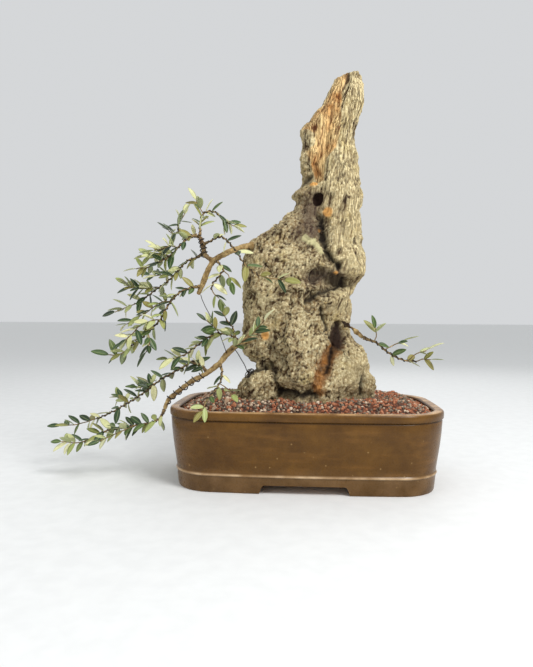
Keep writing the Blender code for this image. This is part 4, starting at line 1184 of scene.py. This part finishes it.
def segment_distance(p1, q1, p2, q2):
    """The shortest distance between two straight lines from p to q."""
    d1, d2, r = q1 - p1, q2 - p2, p1 - p2
    a, e, f = d1.dot(d1), d2.dot(d2), d2.dot(r)
    c, b = d1.dot(r), d1.dot(d2)
    spread = a * e - b * b
    s = min(1, max(0, (b * f - c * e) / spread)) if spread > 1e-16 else 0.0
    t = (b * s + f) / e
    if t < 0:
        t, s = 0.0, min(1, max(0, -c / a))
    elif t > 1:
        t, s = 1.0, min(1, max(0, (b - c) / a))
    return ((p1 + d1 * s) - (p2 + d2 * t)).length


def seat_twig(path, thickness, around):
    """Starts a twig at the bark's surface and bends it clear of what it would touch."""
    points = [Vector(p) for p in path]
    radius = thickness * MM / 2
    start = 0
    while start < len(points) - 3:
        along = (points[start + 1] - points[start]).normalized()
        side = along.orthogonal().normalized()
        other = along.cross(side)
        rim = [points[start] + radius * (math.cos(a) * side + math.sin(a) * other)
               for a in (0, 1.05, 2.09, 3.14, 4.19, 5.24)]
        gaps = [around.surface_gap(place, 30 * MM) for place in rim + [points[start]]]
        if all(found is None or found[0] > GAP for found in gaps):
            break
        start += 1
    points = points[start:]
    for i in range(4, len(points)):
        found = around.surface_gap(points[i], 30 * MM)
        if found and found[0] < radius + 2 * GAP:
            points[i] = points[i] + found[1] * (radius + 2 * GAP - found[0])
    return points


def thin_out(points, step):
    """The points of a path that are at least a step apart, with both its ends."""
    kept = [points[0]]
    for point in points[1:-1]:
        if (point - kept[-1]).length >= step:
            kept.append(point)
    if (points[-1] - kept[-1]).length < 0.4 * step and len(kept) > 1:
        kept.pop()
    kept.append(points[-1])
    return kept


around = Surroundings()
print("solids that the sprays keep clear of:", len(around.trees))

# %% [markdown]
# Each leaf is drawn from a seed of its own, made of its spray's name and its numbers, so one leaf can
# change and the others stay. It is 18 to 28 mm long, as olive leaves are, and leans out from the twig by
# 28 to 68 degrees, or by less at the tip. Each new try makes it a little shorter, and after 30 tries
# without a clear place it is left out.

# %% Drawing each leaf's place
LEAF_LENGTH = (18 * MM, 28 * MM)
LEAF_WIDTH = 0.29
LEAF_TRIES = 30
SHEATH = 8 * MM


def leaf_frame(along, turn, lean, roll):
    """The directions of a leaf's length, its width and its face."""
    side = along.cross(Vector((0, 0, 1)))
    side = side.normalized() if side.length > 0.2 else Vector((1, 0, 0))
    up = side.cross(along).normalized()
    outward = math.cos(turn) * side + math.sin(turn) * up
    length = (math.cos(lean) * along + math.sin(lean) * outward).normalized()
    width = length.cross(Vector((0, 0, 1)))
    width = width.normalized() if width.length > 0.2 else side
    width = (Matrix.Rotation(roll, 3, length) @ width).normalized()
    return length, width, width.cross(length).normalized()


def leaf_places(points, pairs, seed, shift, turn):
    """Each leaf's key, its place, the twig's direction, its turn round the twig, and if it ends it."""
    lengths = [0.0]
    for a, b in zip(points, points[1:]):
        lengths.append(lengths[-1] + (b - a).length)
    total = lengths[-1]
    first = min(SHEATH, 0.3 * total)
    for pair in range(pairs):
        along = first + (total - first) * (pair + shift) / pairs
        along = min(along, total - 1.5 * MM)
        i = max(k for k in range(len(points) - 1) if lengths[k] <= along)
        share = (along - lengths[i]) / (lengths[i + 1] - lengths[i])
        place = points[i].lerp(points[i + 1], share)
        way = (points[i + 1] - points[i]).normalized()
        for side in (0, 1):
            yield f"{seed}.{pair}.{side}", place, way, turn + pair * math.pi / 2 + side * math.pi, False
    yield f"{seed}.tip", points[-1], (points[-1] - points[-2]).normalized(), turn, True


def grow_leaf(key, place, way, turn, at_tip, owner, around):
    """A leaf's base, directions, length and chance, or None where it finds no room."""
    for attempt in range(LEAF_TRIES):
        draw = random.Random(f"{key}.{attempt}")
        size = draw.uniform(*LEAF_LENGTH) * (1 - 0.012 * attempt)
        lean = math.radians(draw.uniform(5, 25) if at_tip else draw.uniform(28, 68))
        frame_of_leaf = leaf_frame(way, turn + draw.uniform(-0.7, 0.7), lean, draw.uniform(-0.9, 0.9))
        end = place + frame_of_leaf[0] * size
        stalk_end = place + frame_of_leaf[0] * 4 * MM
        if not around.crosses(owner, stalk_end, end, size * LEAF_WIDTH * 0.55):
            around.sticks.append((owner, place, end, size * LEAF_WIDTH * 0.5))
            return place, frame_of_leaf, size, draw.uniform(0, 1)
    return None


print("a leaf is", " to ".join(f"{length / MM:.0f}" for length in LEAF_LENGTH), "mm long")

# %% [markdown]
# A blade is a thin closed skin: two sheets that meet at the margin, folded up a little along the midrib
# and arched from base to tip. One flat face would be cheaper but would show no fold. A number on each
# face tells the upper sheet from the lower one, because an olive leaf is dark green above and pale
# silver-green below. Many blades are turned towards the light, which is at the front.

# %% Leaf blade
BLADE_STATIONS = (0.0, 0.07, 0.2, 0.36, 0.52, 0.68, 0.82, 0.93, 1.0)
# The ring of points across a blade: how far across, and how high in half thicknesses.
BLADE_RING = ((-1, 0), (-0.5, 1), (0, 0.8), (0.5, 1), (1, 0), (0.5, -1), (0, -1.1), (-0.5, -1))
BLADE_THICKNESS = 0.5 * MM
BLADE_WIDTH = 0.41
STALK = 0.4 * MM
OUTWARD = Vector((-0.1, -0.9, 0.2))


def blade_half_width(share, half):
    return STALK * (1 - ease(share, 0.0, 0.12)) + half * math.sin(math.pi * share ** 0.9) ** 0.68


def add_blade(leaf, sheet):
    """Adds one leaf to a sheet's lists of points, faces, sides, tints and ribs."""
    base, (length, width, normal), size, chance = leaf
    if normal.z < 0:
        normal = -normal
    normal = normal + OUTWARD * (0.25 + 1.3 * ((chance * 7.3) % 1))
    normal = (normal - length * normal.dot(length)).normalized()
    width = normal.cross(length)
    points, faces, sides, tints, ribs = sheet
    half = size * BLADE_WIDTH / 2
    arch = (chance - 0.35) * 0.16 * size
    rows = []
    for share in BLADE_STATIONS:
        centre = base + length * size * share - normal * arch * (share * share - 0.3 * share)
        if share in (0, 1):
            rows.append([len(points)] * len(BLADE_RING))
            points.append(centre)
            ribs.append(1.0)
            continue
        reach = blade_half_width(share, half)
        rows.append(list(range(len(points), len(points) + len(BLADE_RING))))
        for across, level in BLADE_RING:
            fold = abs(across) * reach * 0.35
            points.append(centre + width * across * reach + normal * (fold + level * BLADE_THICKNESS / 2))
            ribs.append(1.0 if across == 0 else 0.5 - abs(across) / 2)
    for low, high in zip(rows, rows[1:]):
        for k in range(len(BLADE_RING)):
            j = (k + 1) % len(BLADE_RING)
            faces.append(list(dict.fromkeys((low[k], low[j], high[j], high[k]))))
            sides.append(1.0 if k < 4 else 0.0)
            tints.append(chance)


print("faces in a blade:", (len(BLADE_STATIONS) - 1) * len(BLADE_RING))

# %% [markdown]
# The leaf skin mixes its two sides, gives each leaf a tint of its own, from deep green to pale yellow,
# and lightens the midrib and the margin. One material does for all leaves, because side, tint and rib
# are read from the mesh. The twigs are grey-tan and crinkled. The wire is dark and slightly glossy.


# %% Leaf, twig and wire finishes
def ramp(tree, value, *stops):
    """Colours between stops, each a place from 0 to 1 and a paint."""
    made = node(tree, "ShaderNodeValToRGB", Fac=value)
    elements = made.color_ramp.elements
    while len(elements) < len(stops):
        elements.new(0.5)
    for element, (place, paint) in zip(elements, stops):
        element.position = place
        element.color = (*srgb(*paint), 1)
    return made.outputs["Color"]


def leaf_skin():
    paint, tree, shader = surface("olive_leaf", 0.45)
    tint = reading(tree, "tint")
    upper = ramp(tree, tint, (0.0, (28, 52, 24)), (0.34, (46, 76, 34)), (0.48, (84, 106, 50)),
                 (0.62, (142, 130, 62)), (0.78, (160, 172, 100)), (1.0, (236, 232, 180)))
    lower = ramp(tree, tint, (0.0, (134, 146, 106)), (0.5, (184, 190, 138)), (1.0, (238, 236, 190)))
    colour = mix(tree, reading(tree, "side"), lower, upper)
    colour = speckled(tree, colour, 0.75, 260.0, 0.6)
    rib = reading(tree, "rib")
    colour = lay(tree, colour, fade(tree, rib, 0.72, 1.0, 0.35), (196, 204, 140))
    colour = lay(tree, colour, fade(tree, rib, 0.12, 0.0, 0.3), (206, 212, 150))
    grained(tree, shader, colour, ("Normal", "Roughness"), Scale=500.0, Strength=0.15, Depth=0.0004,
            Roughness=0.42, Spread=0.2)
    return paint


def twig_bark():
    paint, tree, shader = surface("young_bark", 0.75)
    colour, normal = crinkled(tree, mottled(tree, (96, 76, 46), (186, 156, 104), 140.0), 0.8,
                              (0.5, 0.44, 0.36), Scale=420.0, Width=0.1, Depth=0.0008, Strength=0.6)
    wire_up(tree, shader, Base_Color=colour, Normal=normal)
    return paint


def dark_wire():
    paint, tree, shader = surface("dark_wire", 0.4)
    colour = mottled(tree, (34, 32, 30), (66, 58, 50), 120.0)
    grained(tree, shader, colour, ("Roughness",), Scale=400.0, Roughness=0.4, Spread=0.3)
    shader.inputs["Metallic"].default_value = 0.6
    return paint


spray_paints = {"leaf": leaf_skin(), "twig": twig_bark(), "wire": dark_wire()}
print("spray finishes:", [paint.name for paint in spray_paints.values()])

# %% [markdown]
# A twig is flared where it leaves the bough, thins to its tip and swells where leaves stand. On the
# thicker ones the grower has wound dark wire to bend them. A round tube along the same path gives both,
# with small bends added so that the wood looks grown and not drawn.

# %% Twig and wire helpers
FLARE = 1.7 * MM
GNARL = 1.3 * MM
GNARL_LENGTH = 11 * MM
TIP_RADIUS = 0.75 * MM


def knotted(path, thickness, flare=0.0):
    """Radii of a twig: flared at its root, thinner to its tip, swollen where leaves stand."""
    last = len(path) - 1
    root = thickness * MM / 2
    radii = []
    for i in range(last + 1):
        reached = (path[i] - path[0]).length
        swelling = 1 + 0.14 * (i % 4 == 0)
        radii.append((root + (TIP_RADIUS - root) * i / last) * swelling
                     + flare * math.exp(-reached / (9 * MM)))
    return radii


def gnarled(path):
    return [point + GNARL * noise.noise_vector(point / GNARL_LENGTH) for point in path]


def wire_route(path, radii, pitch, wire):
    """Turns of a wire round a path of points."""
    side = (path[1] - path[0]).orthogonal().normalized()
    travelled = 0.0
    route = []
    for i in range(len(path) - 1):
        along = (path[i + 1] - path[i]).normalized()
        side = (side - along * side.dot(along)).normalized()
        angle = 2 * math.pi * travelled / pitch
        arm = radii[i] + wire
        route.append(path[i] + arm * (math.cos(angle) * side + math.sin(angle) * along.cross(side)))
        travelled += (path[i + 1] - path[i]).length
    return route


print("a twig thins to", round(2 * TIP_RADIUS / MM, 2), "mm")

# %% [markdown]
# All twigs are planned before any leaf, so that a leaf keeps clear of twigs that are drawn after its own.
# The leaves grow in three sets: the solids' own, and two more between them that give the real tree's
# density. The airy sprays have only the first set.

# %% Growing the sprays
TWIG_STEP = 11 * MM
# A set has its mark in the seed, its shift along the twig, its turn round it and the share left out.
LEAF_SETS = (("", 0.6, 0.0, 0.0), (".more", 0.1, 0.8, 0.0), (".third", 0.35, 2.2, 0.35))
SPARSE = ("spray_hanging", "spray_by_trunk", "spray_right", "spray_middle", "spray_low_front")


def plan_twigs(around):
    """The coarse and the fine path of each twig, with its thickness and leaf pairs."""
    planned = {}
    for name, twigs in SPRAYS.items():
        planned[name] = []
        for number, (thickness, pairs, *points) in enumerate(twigs):
            fine = [Vector(p) for p in smooth_path(points, 0.5 * MM)]
            if number == 0:
                fine = seat_twig(fine, thickness, around)
            coarse = thin_out(fine, TWIG_STEP)
            planned[name].append((coarse, fine, thickness, pairs))
            for a, b in zip(coarse, coarse[1:]):
                around.sticks.append((name, a, b, thickness * MM / 2))
    return planned


def grow_leaves(planned, around):
    grown = {name: [] for name in planned}
    for mark, shift, turn, left_out in LEAF_SETS:
        for name, twigs in planned.items():
            if mark and name in SPARSE:
                continue
            for number, (coarse, _, _, pairs) in enumerate(twigs):
                for spot in leaf_places(coarse, pairs, f"{name}.{number}{mark}", shift, turn):
                    if random.Random(spot[0]).random() < left_out:
                        continue
                    leaf = grow_leaf(*spot, name, around)
                    if leaf:
                        grown[name].append(leaf)
    return grown


planned = plan_twigs(around)
grown = grow_leaves(planned, around)
print("leaves:", sum(len(leaves) for leaves in grown.values()))

# %% [markdown]
# Each spray becomes a piece of leaves and a piece of twigs, and together they replace its solid. The
# wound wire is a third piece, since it is another material and can be taken off.

# %% Building the sprays
WIRED_FROM = 2.0
WIRED_SHARE = 0.8
SPRAY_WIRE = 0.75 * MM
SPRAY_WIRE_PITCH = 9.5 * MM


def build_spray(name, twigs, leaves):
    sticks, turns = ([], []), ([], [])
    for number, (_, fine, thickness, _) in enumerate(twigs):
        path = gnarled(thin_out(fine, 2.5 * MM))
        tube(path, knotted(path, thickness, FLARE if number == 0 else 0.0), 8, *sticks)
        if thickness >= WIRED_FROM:
            bent = gnarled(fine[:round(len(fine) * WIRED_SHARE)])
            route = wire_route(bent, knotted(fine, thickness), SPRAY_WIRE_PITCH, SPRAY_WIRE)[::2]
            tube(route, [SPRAY_WIRE] * len(route), 6, *turns)
    sheet = ([], [], [], [], [])
    for leaf in leaves:
        add_blade(leaf, sheet)
    points, faces, sides, tints, ribs = sheet
    blades = new_piece(name + "_leaves", points, faces, "leaf", spray_paints["leaf"], [name])
    store(blades.data, "side", sides, "FACE")
    store(blades.data, "tint", tints, "FACE")
    store(blades.data, "rib", ribs)
    new_piece(name + "_twigs", *sticks, "bark", spray_paints["twig"], [name])
    if turns[0]:
        new_piece(name + "_wire", *turns, "wire", spray_paints["wire"])
    return len(faces)


for name, twigs in planned.items():
    print(name, "has", build_spray(name, twigs, grown[name]), "leaf faces")

# %% [markdown]
# ## Wires on the boughs
# The heavy training wires wind round the bare boughs, and one thin wire pulls the upper bough down to
# the lower one. The solids' wires are coarse, so the heavy ones are drawn again as round wire on the
# same boughs. The thin one is fine as it is and only gets its finish. Beside the left root a small knot
# of wire is drawn as a loose winding with one lead, up to the lower bough.

# %% Bough wires
WIRE_RADIUS = 0.9 * MM
WIRE_STANDS_OFF = 0.2 * MM
# A wire has its bough, the shares of it where it starts and ends, and its pitch.
TRAINING_WIRES = {"wire_upper": ("riser", 0.3, 0.95, 7.5 * MM),
                  "wire_lower": ("lower bough", 0.60, 0.95, 13 * MM)}
KNOT = Vector((-92, -64, 179)) * MM
KNOT_LEAD = ((-94, -70, 186), (-99, -76, 196), (-104, -78, 205), (-109, -78, 212))
KNOT_WIRE = 0.7 * MM
KNOT_STEPS = 110
KNOT_STANDS_OFF = 3.5 * MM


def training_wire(name, bough, start, end, pitch):
    rows = smooth_path(BOUGHS[bough], 1 * MM)
    wound = rows[round(start * (len(rows) - 1)):round(end * (len(rows) - 1)) + 1]
    route = wire_route([Vector(row[:3]) for row in wound], [row[3] for row in wound], pitch,
                       WIRE_RADIUS + WIRE_STANDS_OFF)
    points, faces = [], []
    tube(route, [WIRE_RADIUS] * len(route), 8, points, faces)
    return new_piece(name + "_round", points, faces, "wire", spray_paints["wire"], [name])


def anchor_knot():
    spot, outward, _, _ = scene_tree("trunk").find_nearest(KNOT, 0.1)
    middle = spot + outward * KNOT_STANDS_OFF
    loops = []
    for step in range(KNOT_STEPS):
        angle = step * 0.31
        reach = 5 + 2.5 * math.sin(step * 0.47)
        loops.append(middle + Vector((reach * math.cos(angle), 0.45 * reach * math.sin(1.7 * angle),
                                      reach * math.sin(1.13 * angle))) * MM)
    lead = [Vector(p) for p in smooth_path([tuple(loops[-1] / MM), *KNOT_LEAD], 1.5 * MM)]
    points, faces = [], []
    for path in (loops, lead):
        tube(path, [KNOT_WIRE] * len(path), 6, points, faces)
    return new_piece("anchor_knot", points, faces, "wire", spray_paints["wire"])


for name, winding in TRAINING_WIRES.items():
    print(name, "has", len(training_wire(name, *winding).data.polygons), "faces")
repaint("guy_wire", spray_paints["wire"])
print("knot faces:", len(anchor_knot().data.polygons))
